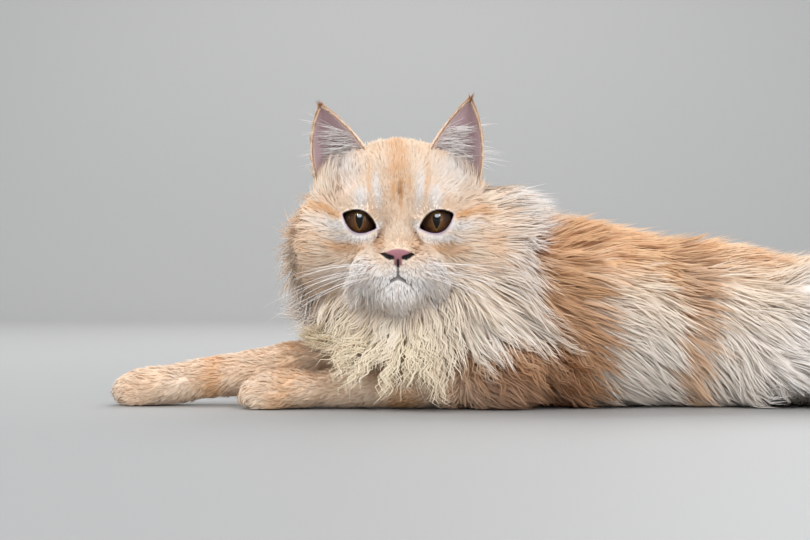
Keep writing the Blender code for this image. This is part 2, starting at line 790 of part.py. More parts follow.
# Colour, roughness and how metallic each part is
WHITE_FUR = (0.82, 0.74, 0.66, 1)
CREAM_FUR = (0.76, 0.60, 0.44, 1)
ORANGE_FUR = (0.62, 0.35, 0.17, 1)
FINISH = {
    "eye": ((0.28, 0.12, 0.03, 1), 0.08, 0.0),
    "head": (CREAM_FUR, 0.9, 0.0),
    "ear": ((0.72, 0.52, 0.48, 1), 0.85, 0.0),
    "foreleg": (CREAM_FUR, 0.9, 0.0),
    "neck": (WHITE_FUR, 0.9, 0.0),
    "hindleg": (WHITE_FUR, 0.9, 0.0),
    "tail": (ORANGE_FUR, 0.9, 0.0),
    "torso": (CREAM_FUR, 0.9, 0.0),
}


def box(low, high):
    """A block between two corners."""
    points = [(x, y, z) for x in (low[0], high[0]) for y in (low[1], high[1]) for z in (low[2], high[2])]
    faces = [(0, 1, 3, 2), (4, 6, 7, 5), (0, 4, 5, 1), (2, 3, 7, 6), (0, 2, 6, 4), (1, 5, 7, 3)]
    return face_out(add_object("box", np.array(points, float), faces))


FAR = 600.0


def tail_length(name, extra):
    """The tail's solid as far as the end of the named length; those before it are cut away later."""
    whole = core("tail", extra)
    if name in TAIL_ENDS:
        axis, place = TAIL_ENDS[name]
        high = [FAR, FAR, FAR]
        high[axis] = place - extra
        combine(whole, [box((-FAR, -FAR, -FAR), high)], "DIFFERENCE")
    return whole


def base(name, extra):
    """A part's solid without its locks, grown by extra."""
    kind, _, place = name.partition("_")
    if kind == "eye":
        return eye(HEAD_SIDE[place], extra)
    if kind == "head":
        return head_core(extra)
    if kind == "ear":
        return ear_shell(HEAD_SIDE[place], extra)
    if kind == "tail":
        return tail_length(name, extra)
    return core(name, extra)


def crosses_itself(obj):
    """Whether two faces of a piece that share no corner pass through each other."""
    bm = bmesh.new()
    bm.from_mesh(obj.data)
    bmesh.ops.scale(bm, vec=(1 / MM,) * 3, verts=bm.verts)
    tree = BVHTree.FromBMesh(bm)
    corners = [{v.index for v in f.verts} for f in bm.faces]
    bm.free()
    return any(not corners[a] & corners[b] for a, b in tree.overlap(tree))


def runs_clean(line):
    """Whether a lock, and the wider one that cuts a gap round it, bend without crossing themselves."""
    for extra in (0.0, LOCK_GAP):
        piece = lock(*line, extra)
        crossed = crosses_itself(piece)
        bpy.data.objects.remove(piece)
        if crossed:
            return False
    return True


def locks_of(name, solid_mesh, taken, rng):
    """The lines of a part's locks. Roots are drawn all over its solid, and each one is kept if it keeps
    its distance from those before it, with the longest lock of LENGTH_SHARES that bends cleanly there."""
    kind, _, place = name.partition("_")
    if kind == "eye":
        return []
    if kind == "ear":
        return ear_locks(HEAD_SIDE[place])
    owner = "tail" if kind == "tail" else name
    spacing = COATS[kind]["spacing"]
    roots = sample_surface(solid_mesh, CANDIDATES, rng)
    roots = roots[coated(owner, roots)]
    if len(taken):
        nearest = np.min(np.linalg.norm(roots[:, None] - np.array(taken)[None], axis=2), axis=1)
        roots = roots[nearest > TAKEN_SHARE * spacing]
    if not len(roots):
        return []
    choices = [lay_locks(owner, roots, share, rng) for share in LENGTH_SHARES]
    kept, lines = [], []
    for k, root in enumerate(roots):
        if any(np.sum((root - other) ** 2) < spacing * spacing for other in kept):
            continue
        clean = next((choice[k] for choice in choices if runs_clean(choice[k])), None)
        if clean:
            kept.append(root)
            lines.append(clean)
    return lines


def bounds(obj):
    """The lowest and highest corners of an object's own mesh."""
    points = np.array([v.co[:] for v in obj.data.vertices])
    return points.min(axis=0), points.max(axis=0)


def meets(a, b):
    """Whether the boxes round two objects overlap."""
    (a_low, a_high), (b_low, b_high) = bounds(a), bounds(b)
    return bool(np.all(a_low < b_high) and np.all(b_low < a_high))


def clear_of(obj, makers):
    """Cuts obj clear of the grown copies of the pieces before it."""
    cutters = []
    for make in makers:
        cutter = make()
        if meets(obj, cutter):
            cutters.append(cutter)
        else:
            bpy.data.objects.remove(cutter)
    return combine(obj, cutters, "DIFFERENCE")


def paint(obj, name):
    """Gives a node its own material and smooth shading."""
    colour, roughness, metallic = FINISH[kind_of(name)]
    material = bpy.data.materials.new(name)
    material.use_nodes = True
    shader = material.node_tree.nodes["Principled BSDF"]
    shader.inputs["Base Color"].default_value = colour
    shader.inputs["Roughness"].default_value = roughness
    shader.inputs["Metallic"].default_value = metallic
    obj.data.materials.clear()
    obj.data.materials.append(material)
    obj.data.shade_smooth()


def stand_on_origin(nodes):
    """Moves the cat so that the middle of its box's underside is the origin."""
    corners = [bounds(obj) for obj in nodes]
    low = np.min([c[0] for c in corners], axis=0)
    high = np.max([c[1] for c in corners], axis=0)
    for obj in nodes:
        obj.location = (-(low[0] + high[0]) / 2, -(low[1] + high[1]) / 2, -low[2])


def make_node(name, grown, taken, rng):
    """One node with its locks, cut clear of those before it, and the lines of those locks."""
    obj = base(name, 0.0)
    lines = locks_of(name, obj, taken, rng)
    combine(obj, [lock(*line) for line in lines], "UNION")
    if name == "head":
        combine(obj, [eye_opening(side) for side in (-1, 1)] + face_cutters(), "DIFFERENCE")
    if name in PAWS:
        combine(obj, toe_cutters(name), "DIFFERENCE")
    clear_of(obj, grown)
    return obj, lines


def build():
    for obj in list(bpy.data.objects):
        bpy.data.objects.remove(obj)
    nodes, grown, taken = [], [], []
    for name in ORDER:
        for attempt in range(ATTEMPTS):
            obj, lines = make_node(name, grown, taken, np.random.default_rng(SEED + attempt))
            if keep_largest(obj):
                break
            bpy.data.objects.remove(obj)
        obj.name = name
        obj.data.name = name
        paint(obj, name)
        print(name, attempt, len(lines), "locks", len(obj.data.polygons), "triangles")
        nodes.append(obj)
        taken += [line[0][k] for line in lines for k in (1, 2)]
        grown.append(lambda name=name: base(name, GAP))
        grown += [lambda line=line: lock(*line, LOCK_GAP) for line in lines]
    stand_on_origin(nodes)


build()
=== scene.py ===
# %% [markdown]
# A long-haired persian cat lies at rest and looks at the viewer, as a life-size museum model.
# Its solids are already made and fixed. This lesson dresses them: one skin, two eyes, and a coat of
# tufts that are real geometry. We begin by loading the fixed solids and keeping the size of their box.

# %% Load the fixed solids
import json
import math

import bpy
import numpy as np
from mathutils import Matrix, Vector
from mathutils.kdtree import KDTree

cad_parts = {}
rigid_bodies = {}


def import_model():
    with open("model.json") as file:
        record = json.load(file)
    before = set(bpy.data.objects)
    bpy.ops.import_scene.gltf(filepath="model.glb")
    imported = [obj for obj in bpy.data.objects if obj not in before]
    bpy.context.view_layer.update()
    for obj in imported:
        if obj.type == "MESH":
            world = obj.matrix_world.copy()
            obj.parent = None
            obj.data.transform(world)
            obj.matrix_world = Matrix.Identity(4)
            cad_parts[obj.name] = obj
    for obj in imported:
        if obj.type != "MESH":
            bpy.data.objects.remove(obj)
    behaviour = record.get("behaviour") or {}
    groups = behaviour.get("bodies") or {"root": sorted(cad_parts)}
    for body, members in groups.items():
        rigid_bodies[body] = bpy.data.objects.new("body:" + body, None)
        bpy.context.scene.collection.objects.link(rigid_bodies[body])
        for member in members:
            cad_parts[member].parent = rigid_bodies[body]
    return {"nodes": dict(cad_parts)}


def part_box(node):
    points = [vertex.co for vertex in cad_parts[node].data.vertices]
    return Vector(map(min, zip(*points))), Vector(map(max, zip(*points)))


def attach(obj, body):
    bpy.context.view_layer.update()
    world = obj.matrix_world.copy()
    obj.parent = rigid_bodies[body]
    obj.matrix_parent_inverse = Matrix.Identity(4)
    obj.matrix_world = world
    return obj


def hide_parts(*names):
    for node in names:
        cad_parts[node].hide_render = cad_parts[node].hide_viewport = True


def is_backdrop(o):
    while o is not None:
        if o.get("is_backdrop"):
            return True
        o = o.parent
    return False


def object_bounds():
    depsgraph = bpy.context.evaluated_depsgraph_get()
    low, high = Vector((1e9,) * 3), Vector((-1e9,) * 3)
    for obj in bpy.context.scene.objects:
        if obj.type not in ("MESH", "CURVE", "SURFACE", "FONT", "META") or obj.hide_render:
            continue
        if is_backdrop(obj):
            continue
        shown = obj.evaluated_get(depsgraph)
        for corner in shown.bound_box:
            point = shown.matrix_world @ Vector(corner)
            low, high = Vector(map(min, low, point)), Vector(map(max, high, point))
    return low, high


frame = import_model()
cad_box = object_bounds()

print("solids:", len(frame["nodes"]), "box:", [[round(x, 3) for x in corner] for corner in cad_box])

# %% [markdown]
# The cat is measured in millimetres from the point on the floor below its face: X to the right of the
# picture, Y away from the viewer, Z up. The solids were moved so that their box stands on the origin,
# so one known place, the middle of the left eye, tells how far.

# %% Sizes in millimetres, and the way back to the solids' frame
MM = 0.001
EYE_APART, EYE_HEIGHT, EYE_DEPTH, EYE_RADIUS = 48.0, 118.4, 10.5, 11.0
EYE_MIDDLE = np.array([EYE_APART / 2, EYE_DEPTH, EYE_HEIGHT])
eye_low, eye_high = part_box("eye_left")
MOVED = (np.array(eye_low) + np.array(eye_high)) / 2 - EYE_MIDDLE * MM


def placed(p):
    """Points in millimetres from below the face, in the solids' frame in metres."""
    return np.asarray(p, float) * MM + MOVED


def unit(v):
    """Vectors of length one."""
    return v / np.maximum(np.linalg.norm(v, axis=-1, keepdims=True), 1e-9)


def smooth(t):
    """A soft step from 0 to 1 as t goes from 0 to 1."""
    t = np.clip(t, 0, 1)
    return t * t * (3 - 2 * t)


def waves(p, size, seed):
    """Soft noise between about -1 and 1, with patches about half of size across."""
    rng = np.random.default_rng(seed)
    ways = unit(rng.normal(size=(7, 3))) * (2 * np.pi / size) * rng.uniform(0.6, 1.5, (7, 1))
    return np.sin(p @ ways.T + rng.uniform(0, 2 * np.pi, 7)).sum(-1) / 3


print("moved by", [round(x, 4) for x in MOVED])

# %% [markdown]
# The camera comes first, because everything is judged through it. It stands 1.25 m before the eyes and
# 88 mm above the floor, level, where a photographer lies on the floor with a long lens.

# %% Camera
CAMERA_PLACE = (4.3, -1250.0, 88.0)
LENS_PIXELS, PICTURE_WIDTH, SENSOR = 2016.0, 810.0, 36.0

lens = bpy.data.cameras.new("camera")
lens.sensor_width = SENSOR
lens.lens = SENSOR * LENS_PIXELS / PICTURE_WIDTH
camera = bpy.data.objects.new("camera", lens)
camera.location = placed(CAMERA_PLACE)
camera.rotation_euler = (math.pi / 2, 0, 0)
bpy.context.scene.collection.objects.link(camera)
bpy.context.scene.camera = camera
print("lens", round(lens.lens, 1), "mm")

# %% [markdown]
# The masses are the same as in the solids: round lumps of clay, run together. Each lump is a function
# that gives the distance from any point to its surface, less than zero inside. Such functions are easy
# to join, to carve and to measure from, which a coat of hair needs.

# %% Lumps of clay
SHOULDER = (110.0, 62.0)
SPINE_TURN = math.radians(11)
SPINE_WAY = np.array([math.cos(SPINE_TURN), math.sin(SPINE_TURN), 0.0])
SIDE_WAY = np.array([-math.sin(SPINE_TURN), math.cos(SPINE_TURN), 0.0])
HIND_STANCE = 45.0


def body_point(along, side, height):
    """A point in the trunk's own frame: along the spine from the shoulders, to the far side, and up."""
    point = np.array([*SHOULDER, height]) + along * SPINE_WAY + side * SIDE_WAY
    return tuple(point)


class Mass:
    """The distance to a lump of clay, and the box that holds the lump."""

    def __init__(self, low, high, distance):
        self.low, self.high, self.distance = np.asarray(low, float), np.asarray(high, float), distance

    def __call__(self, p):
        return self.distance(p)

    def from_afar(self, p, near=32.0):
        """The distance, which is only that to the box for points far away from it."""
        beyond = np.maximum(np.maximum(self.low - p, p - self.high), 0)
        found = np.sqrt((beyond * beyond).sum(-1))
        close = found < near
        found[close] = self.distance(p[close])
        return found


def ball(centre, radii):
    """Distance to an ellipsoid, good near its surface."""
    centre, radii = np.array(centre, float), np.array(radii, float)

    def distance(p):
        q = (p - centre) / radii
        level = np.sqrt((q * q).sum(-1))
        slope = np.sqrt(((q / radii) ** 2).sum(-1))
        return level * (level - 1) / np.maximum(slope, 1e-9)

    return Mass(centre - radii, centre + radii, distance)


def limb(start, end, r_start, r_end):
    """Distance to a rod with round ends whose radius changes evenly."""
    start, end = np.array(start, float), np.array(end, float)
    run = end - start

    def distance(p):
        t = np.clip((p - start) @ run / (run @ run), 0, 1)
        q = p - start - t[..., None] * run
        return np.sqrt((q * q).sum(-1)) - (r_start + t * (r_end - r_start))

    wide = max(r_start, r_end)
    return Mass(np.minimum(start, end) - wide, np.maximum(start, end) + wide, distance)


def blended(masses, soft, reads=Mass.__call__):
    """Distance to several masses run together, with fillets of about the size soft."""

    def distance(p):
        found = reads(masses[0], p)
        for mass in masses[1:]:
            other = reads(mass, p)
            overlap = np.maximum(soft - np.abs(found - other), 0) / soft
            found = np.minimum(found, other) - overlap * overlap * soft / 4
        return found

    return Mass(np.min([m.low for m in masses], 0), np.max([m.high for m in masses], 0), distance)


FOUR_WAYS = np.array([(1, -1, -1), (-1, -1, 1), (-1, 1, -1), (1, 1, 1)], float)


def slope_of(distance, p, step=0.4):
    """The way out of a surface at each point, at length one."""
    return unit(sum(distance(p + step * way)[..., None] * way for way in FOUR_WAYS))


gap = ball((0, 0, 0), (5, 5, 5))(np.array([9.0, 0, 0]))
print("from 9 mm off the middle of a ball 10 mm wide to the ball:", round(float(gap), 1), "mm")

# %% [markdown]
# The head is a broad round skull with full cheeks, a short blunt muzzle and a small chin, and a foreleg
# is two rods and a broad paw with four toes. They could be sculpted by hand. Lumps that each have a
# place and a size were chosen, because one can be moved at a time until the outline fits the picture.

# %% Head and forelegs
NOSE = ((0.0, -14.5, 97.5), (8.4, 5.2, 6.0))


def head_masses():
    """A broad round skull, full cheeks, a short blunt muzzle and a small chin."""
    masses = [
        ball((0, 46, 130), (43, 42, 38)),
        ball((0, 32, 117), (44, 33, 30)),
        ball((0, 14, 93), (24, 26, 17)),
        ball((0, 23, 82), (26, 26, 16)),
        ball((0, 0, 75.5), (12.5, 11, 8.5)),
        limb((0, 3, 117), (0, -12, 98.5), 8.5, 6.3),
    ]
    for side in (-1, 1):
        masses.append(ball((side * 33, 38, 106), (22, 27, 24)))
        masses.append(ball((side * 12, -3, 89), (14.5, 12.5, 10)))
        masses.append(ball((side * 20, 10, 131), (15, 8, 8)))
        masses.append(ball(EYE_MIDDLE * (side, 1, 1), (13.4, 12.6, 13.0)))
    return masses


def foreleg_masses(elbow, mid, wrist, paw, toes):
    """Forearm, wrist and a broad paw with four toes side by side."""
    masses = [limb(elbow, mid, 17.5, 14.5), limb(mid, wrist, 14.5, 11), ball(paw, (25, 16, 11.5))]
    for place, reach in ((-11.5, -3), (-4, 0.5), (4, 0.5), (11.5, -3)):
        masses.append(ball((toes[0] - reach, toes[1] + place, 9), (13, 4.6, 9.0)))
    return masses


LEFT_FORELEG = ((70, 25, 22), (10, 28, 18), (-42, 30, 13), (-68, 30, 12.3), (-86, 30))
RIGHT_FORELEG = ((-10, 73, 33), (-70, 70, 24), (-136, 65, 16.5), (-154, 64, 12.8), (-171, 64))
RIGHT_UPPER_ARM = limb((48, 84, 50), (-10, 73, 33), 22, 20)
print("lumps in the head:", len(head_masses()), "and in a foreleg:", len(foreleg_masses(*LEFT_FORELEG)))

# %% [markdown]
# The hindlegs are folded under the trunk with their long feet flat on the floor, and the tail lies
# round the near one. The legs are placed in the trunk's own frame, so that they follow if the spine
# turns, and the tail is a chain of rods along a path. Neck and trunk are thick rods and balls, run
# together with wide fillets, because the coat hides every edge there.

# %% Hindlegs, tail, neck and trunk
def hindleg_masses(side):
    """Thigh, knee, shin folded under it, and the long foot flat on the floor."""
    stance = side * HIND_STANCE
    masses = [
        ball(body_point(170, side * 38, 41), (54, 23, 38)),
        ball(body_point(126, stance * 0.93, 33), (21, 16, 25)),
        limb(body_point(128, stance, 22), body_point(225, stance, 17), 15, 12),
        limb(body_point(236, stance * 0.95, 12), body_point(188, stance * 1.04, 11), 10, 11),
        ball(body_point(177, stance * 1.06, 11), (17, 13, 10.5)),
    ]
    for place in (-9, -3, 3, 9):
        masses.append(ball(body_point(165, stance * 1.08 + place, 7.5), (9, 4.4, 7.2)))
    return masses


TAIL_PATH = np.array(
    [
        body_point(222, 4, 34),
        (368, 110, 26),
        (400, 86, 22),
        (412, 47, 20),
        (397, 9, 19),
        (362, -14, 18),
        (322, -22, 17),
        (296, -23, 16),
    ]
)
TAIL_RADII = [14, 11, 10, 9.5, 9, 8, 6.5, 4]
TAIL_ENDS = list(zip(TAIL_PATH, TAIL_RADII))
TAIL_MASSES = [limb(a, b, r_a, r_b) for (a, r_a), (b, r_b) in zip(TAIL_ENDS, TAIL_ENDS[1:])]
NECK_MASSES = [
    ball((6, 66, 96), (59, 28, 50)),
    ball((14, 38, 62), (46, 24, 30)),
    limb((30, 72, 92), (60, 67, 82), 36, 39),
    limb((60, 67, 82), (104, 62, 62), 39, 40),
]
TORSO_MASSES = [
    limb((22, 60, 60), (50, 62, 47), 27, 35),
    limb((50, 62, 47), body_point(0, 0, 57), 35, 47),
    limb(body_point(0, 0, 57), body_point(95, 0, 47), 48, 44),
    limb(body_point(95, 0, 47), body_point(180, 0, 41), 44, 37),
    limb(body_point(180, 0, 41), body_point(222, 0, 38), 38, 31),
    ball(body_point(10, -28, 70), (36, 17, 27)),
    ball(body_point(10, 28, 70), (36, 17, 27)),
    limb((50, 32, 58), (72, 28, 30), 24, 18),
    limb((52, 94, 58), (30, 88, 44), 24, 21),
]
PARTS = {
    "head": blended([blended(head_masses(), 9), ball(*NOSE)], 2.5),
    "neck": blended(NECK_MASSES, 14),
    "torso": blended(TORSO_MASSES, 16),
    "foreleg_left": blended(foreleg_masses(*LEFT_FORELEG), 5),
    "foreleg_right": blended([RIGHT_UPPER_ARM] + foreleg_masses(*RIGHT_FORELEG), 5),
    "hindleg_left": blended(hindleg_masses(-1), 9),
    "hindleg_right": blended(hindleg_masses(1), 9),
    "tail": blended(TAIL_MASSES, 4),
}
NAMES = list(PARTS)
FLESH_SOFT = 9.0
flesh = blended(list(PARTS.values()), FLESH_SOFT, Mass.from_afar)
print("parts of the body:", ", ".join(NAMES))

# %% [markdown]
# The face is carved out of the clay. A socket holds each eye, an almond opening parts its lids, and the
# nostrils, the split lip and the line of the mouth are thin rods taken away from the surface.

# %% Carving the face
EYE_SLANT = math.radians(23)
EYE_HALF_WIDTH, UPPER_LID, LOWER_LID = 11.4, 5.9, 7.3
SOCKET_ROOM = 0.25
FLOOR_SKIN = 0.6


def eye_plane(p, side):
    """Places in the plane of an eye: along the slant to its outer corner, and up across it."""
    x, z = side * (p[..., 0] - side * EYE_APART / 2), p[..., 2] - EYE_HEIGHT
    c, s = math.cos(EYE_SLANT), math.sin(EYE_SLANT)
    return x * c + z * s, z * c - x * s


def lid_gap(p, side):
    """Distance to the almond between the lids, as seen from the front: below zero in the gap."""
    u, w = eye_plane(p, side)
    arch = 1 - (u / EYE_HALF_WIDTH) ** 2
    return np.maximum(w - UPPER_LID * arch, -w - LOWER_LID * arch) * 0.8


def on_face(x, z):
    """The point of the flesh at a place as seen from the front."""
    depth = np.linspace(-24, 40, 257)
    ray = np.stack([np.full_like(depth, x), depth, np.full_like(depth, z)], 1)
    return ray[np.argmax(flesh(ray) < 0)]


def groove(points):
    """Distance to a chain of thin rods laid in the face through places (x, z) with radii."""
    ends = [(on_face(x, z), r) for x, z, r in points]
    return blended([limb(a[0], b[0], a[1], b[1]) for a, b in zip(ends, ends[1:])], 0.5)


MOUTH = [(0, 83.4, 0.9), (4, 81.6, 0.7), (9, 79.0, 0.6), (14.5, 77.4, 0.55), (19, 76.6, 0.3)]
LIP = [(0, 94, 0.3), (0, 90, 0.4), (0, 87, 0.45), (0, 83.4, 0.9)]
NOSTRIL = [(3.4, 95.6, 0.8), (5.2, 95.7, 1.1), (7.4, 96.8, 0.9), (10.6, 98.8, 0.3)]
CUTS = [groove(LIP)]
CUTS += [groove([(side * x, z, r) for x, z, r in line]) for line in (MOUTH, NOSTRIL) for side in (-1, 1)]


def skin(p):
    """Distance to the carved skin, standing on the floor."""
    found = flesh(p)
    near = (p[..., 1] < EYE_DEPTH + EYE_RADIUS + 4) & (np.abs(p[..., 0]) < 44) & (p[..., 2] > 62)
    q = p[near]
    if len(q):
        face = found[near]
        for side in (-1, 1):
            socket = ball(EYE_MIDDLE * (side, 1, 1), [EYE_RADIUS + SOCKET_ROOM] * 3)(q)
            gap = np.maximum(lid_gap(q, side), q[..., 1] - EYE_DEPTH)
            face = np.maximum(face, -np.minimum(socket, gap))
        for cut in CUTS:
            face = np.maximum(face, -cut(q))
        found[near] = face
    return np.maximum(found, FLOOR_SKIN - p[..., 2])


print("grooves in the face:", len(CUTS), "; an eye opens", 2 * EYE_HALF_WIDTH, "mm wide")

# %% [markdown]
# A surface is drawn round the clay with surface nets: space is cut into cells, each cell that the
# surface passes gets one point, and neighbouring points are joined by squares. The cells are small
# where the eyes, nose and mouth are, and larger elsewhere, so one skin without a seam has both.

# %% Surface nets
BODY_CELL, FACE_CELL = 3.0, 0.75
BLOCK = 8
CELL_CORNERS = np.array([[i, j, k] for i in (0, 1) for j in (0, 1) for k in (0, 1)])
CELL_EDGES = [
    (a, b) for a in range(8) for b in range(a + 1, 8) if np.abs(CELL_CORNERS[a] - CELL_CORNERS[b]).sum() == 1
]


def spaced(low, high, fine_low, fine_high):
    """Grid lines from low to high, close together between the two fine limits."""
    before = np.arange(fine_low, low - BODY_CELL, -BODY_CELL)[:0:-1]
    middle = np.arange(fine_low, fine_high, FACE_CELL)
    after = np.arange(fine_high, high + BODY_CELL, BODY_CELL)
    return np.concatenate([before, middle, after])


def sampled(distance, lines):
    """The distance on a grid, worked out in full only in the blocks of cells near the surface."""
    grid = np.empty([len(line) for line in lines])
    starts = [np.arange(0, len(line), BLOCK) for line in lines]
    mids = [line[np.minimum(s + BLOCK // 2, len(line) - 1)] for line, s in zip(lines, starts)]
    sizes = [line[np.minimum(s + BLOCK, len(line) - 1)] - line[s] for line, s in zip(lines, starts)]
    middle = np.stack(np.meshgrid(*mids, indexing="ij"), -1)
    size = np.sqrt(sum(s * s for s in np.meshgrid(*sizes, indexing="ij")))
    rough = distance(middle)
    wide = rough
    for axis in range(3):
        wide = np.repeat(wide, BLOCK, axis)
    grid[:] = wide[: grid.shape[0], : grid.shape[1], : grid.shape[2]]
    inner = np.array([[i, j, k] for i in range(BLOCK) for j in range(BLOCK) for k in range(BLOCK)])
    for chosen in np.array_split(np.argwhere(np.abs(rough) < size + 5), 24):
        index = (chosen[:, None] * BLOCK + inner[None]).reshape(-1, 3)
        index = index[np.all(index < grid.shape, axis=1)]
        points = np.stack([line[i] for line, i in zip(lines, index.T)], -1)
        grid[tuple(index.T)] = distance(points)
    return grid


def nets(grid, lines):
    """The points and squares of the surface where a sampled distance is zero."""
    inside = grid < 0
    shape = np.array(grid.shape) - 1
    total = np.zeros(shape, int)
    for i, j, k in CELL_CORNERS:
        total += inside[i : i + shape[0], j : j + shape[1], k : k + shape[2]]
    cells = np.argwhere((total > 0) & (total < 8))
    number = np.full(shape, -1)
    number[tuple(cells.T)] = np.arange(len(cells))
    values = [grid[tuple((cells + corner).T)] for corner in CELL_CORNERS]
    places = [
        np.stack([lines[d][cells[:, d] + corner[d]] for d in range(3)], 1) for corner in CELL_CORNERS
    ]
    points, count = np.zeros((len(cells), 3)), np.zeros(len(cells))
    for a, b in CELL_EDGES:
        crossed = (values[a] < 0) != (values[b] < 0)
        share = np.where(crossed, values[a] / np.where(crossed, values[a] - values[b], 1), 0)
        points += crossed[:, None] * (places[a] + share[:, None] * (places[b] - places[a]))
        count += crossed
    squares = []
    for d in range(3):
        u, v = np.eye(3, dtype=int)[(d + 1) % 3], np.eye(3, dtype=int)[(d + 2) % 3]
        here = np.take(inside, range(shape[d]), axis=d)
        there = np.take(inside, range(1, shape[d] + 1), axis=d)
        edge = np.argwhere(here != there)
        edge = edge[np.all((edge > 0) & (edge < shape), axis=1)]
        ring = np.stack([number[tuple((edge - step).T)] for step in (0 * u, u, u + v, v)], 1)
        leaves = here[tuple(edge.T)]
        squares.append(np.where(leaves[:, None], ring, ring[:, ::-1]))
    return points / count[:, None], np.concatenate(squares)


BODY_ROOM = [(-200, 440), (-52, 170), (-3, 176)]
FACE_ROOM = [(-42, 42), (-24, 22), (68, 134)]
PULL_LIMIT, PULL_SHARE = 0.4, 0.8

grid_lines = [spaced(*body, *face) for body, face in zip(BODY_ROOM, FACE_ROOM)]
skin_points, skin_squares = nets(sampled(skin, grid_lines), grid_lines)
pull = np.clip(skin(skin_points), -PULL_LIMIT, PULL_LIMIT)
skin_points -= pull[:, None] * slope_of(skin, skin_points, 0.15) * PULL_SHARE
print("skin:", len(skin_points), "points,", len(skin_squares), "squares")

# %% [markdown]
# Now the markings. A red persian is cream with orange bands, brown where locks lie deep, and white on
# muzzle, chin, ruff and thighs. Each mark is a soft spot with a place and a size, and the same function
# colours skin and hair by where a hair grows, so that a band runs through both. An image laid over the
# cat would do it too, but it would stretch at the sides and couldn't be changed by a number. First come
# helpers that tell how much a place belongs to each part of the body.

# %% Where each part of the body holds sway
SWAY_SOFT = 5.0


def shares(p):
    """How much each point belongs to each part of the body: rows that add up to one."""
    near = np.stack([PARTS[name].from_afar(p) for name in NAMES], 1)
    weight = np.exp(-(near - near.min(1, keepdims=True)) / SWAY_SOFT)
    return weight / weight.sum(1, keepdims=True)


def mixed(share, **values):
    """One value for each point from a value for each part, by its shares. Parts go by their first word."""
    columns = [np.broadcast_to(values[name.split("_")[0]], len(share)) for name in NAMES]
    return (share * np.stack(columns, 1)).sum(1)


def sideways(p):
    """How far from the spine: above 0 on the side away from the viewer."""
    return (p - np.array([*SHOULDER, 0])) @ SIDE_WAY


def along_body(p):
    """Along the spine from the shoulders, and out to either side."""
    return (p - np.array([*SHOULDER, 0])) @ SPINE_WAY, np.abs(sideways(p))


def spots(p, marks):
    """The strongest of soft spots at each point: middle, size along each axis, and strength."""
    found = np.zeros(len(p))
    for middle, size, strength in marks:
        q = (p - np.array(middle)) / np.array(size)
        found = np.maximum(found, strength * np.exp(-((q * q).sum(-1) ** 1.5)))
    return found


below_chin = np.array([[0.0, 20, 60]])
print("below the chin, head and neck hold", np.round(shares(below_chin)[0, :2], 2))

# %% [markdown]
# A tabby's face has a pattern of its own: an orange blaze with thin brown lines up the brow, pale
# stripes on either side of it, white under the eyes and round the mouth, and orange lines that run back
# from the corners of the eyes. Every mark is one row, and most come in pairs.

# %% The marks of head and ruff, by their place as seen from the front
DEEP = 90
HEAD_ORANGE = [
    ((0, 0, 156), (8, DEEP, 24), 0.75),
    ((-3.2, 0, 136), (1.6, DEEP, 12), 0.8),
    ((1.5, 0, 134), (1.7, DEEP, 15), 0.85),
    ((6.5, 0, 140), (1.5, DEEP, 9), 0.7),
    ((0, 0, 133), (7, DEEP, 13), 0.45),
]
HEAD_BROWN = [((1.0, 0, 135), (1.4, 30, 7), 0.4), ((0, -10, 104), (7, 12, 3), 0.2)]
HEAD_WHITE = [((0, -8, 80), (34, 40, 13), 0.95), ((0, -5, 68), (16, 20, 10), 0.85)]
for side in (-1, 1):
    HEAD_ORANGE += [
        ((side * 17.5, 0, 143), (1.5, DEEP, 17), 0.65),
        ((side * 26, 0, 158), (4, DEEP, 14), 0.5),
        ((side * 31, 0, 143), (5, DEEP, 5), 0.5),
        ((side * 40, 8, 122), (12, 40, 2.8), 0.85),
        ((side * 28, 0, 103.5), (13, 40, 5), 0.65),
        ((side * 46, 10, 106), (9, 40, 9), 0.5),
        ((side * 10, -8, 106), (4, 14, 7), 0.6),
        ((side * 35, 0, 92), (9, 40, 2.5), 0.4),
    ]
    HEAD_BROWN += [
        ((side * 11.5, -6, 107.5), (2.6, 12, 4.5), 0.8),
        ((side * 9.5, -14, 101), (3, 6, 2.5), 0.35),
    ]
    HEAD_BROWN += [
        ((side * (14 + 3.6 * i + row), -8, 94 - 3.4 * row - 0.6 * i), (0.8, 20, 0.8), 0.7)
        for row in range(3)
        for i in range(4)
    ]
    HEAD_WHITE += [
        ((side * 13, 0, 136), (2.8, DEEP, 14), 0.7),
        ((side * 23, 0, 132), (4.5, DEEP, 8), 0.75),
        ((side * 33, 6, 115.5), (9, 40, 4.0), 0.9),
        ((side * 25, 0, 109), (12, 40, 3.0), 1.0),
        ((side * 12.5, -2, 114), (3.0, 16, 5), 0.8),
        ((side * 38, 20, 148), (16, DEEP, 15), 0.7),
        ((side * 24, -6, 89), (18, 30, 8), 0.9),
    ]


print("marks on the head:", len(HEAD_ORANGE + HEAD_BROWN + HEAD_WHITE))

# %% [markdown]
# On the body the pattern is broader: an orange saddle along the back, one band behind the ruff and one
# across the flank, brown locks behind the forelegs, faint rings on legs and tail, and white thighs. A
# band is a soft step of the distance along the spine, bent by slow waves so that it looks grown.

# %% One function for all the markings
BAND_PLACES, BAND_WIDTHS = (-8, 66), (15, 12)
BAND_START, BAND_LEAN, SADDLE_HEIGHT = 12, 0.16, 76


def stripe(t, middle, width, edge=2):
    """1 at the middle of a stripe, falling off to its sides: softly for edge 2, sharply for 4."""
    return np.exp(-(((t - middle) / width) ** edge))


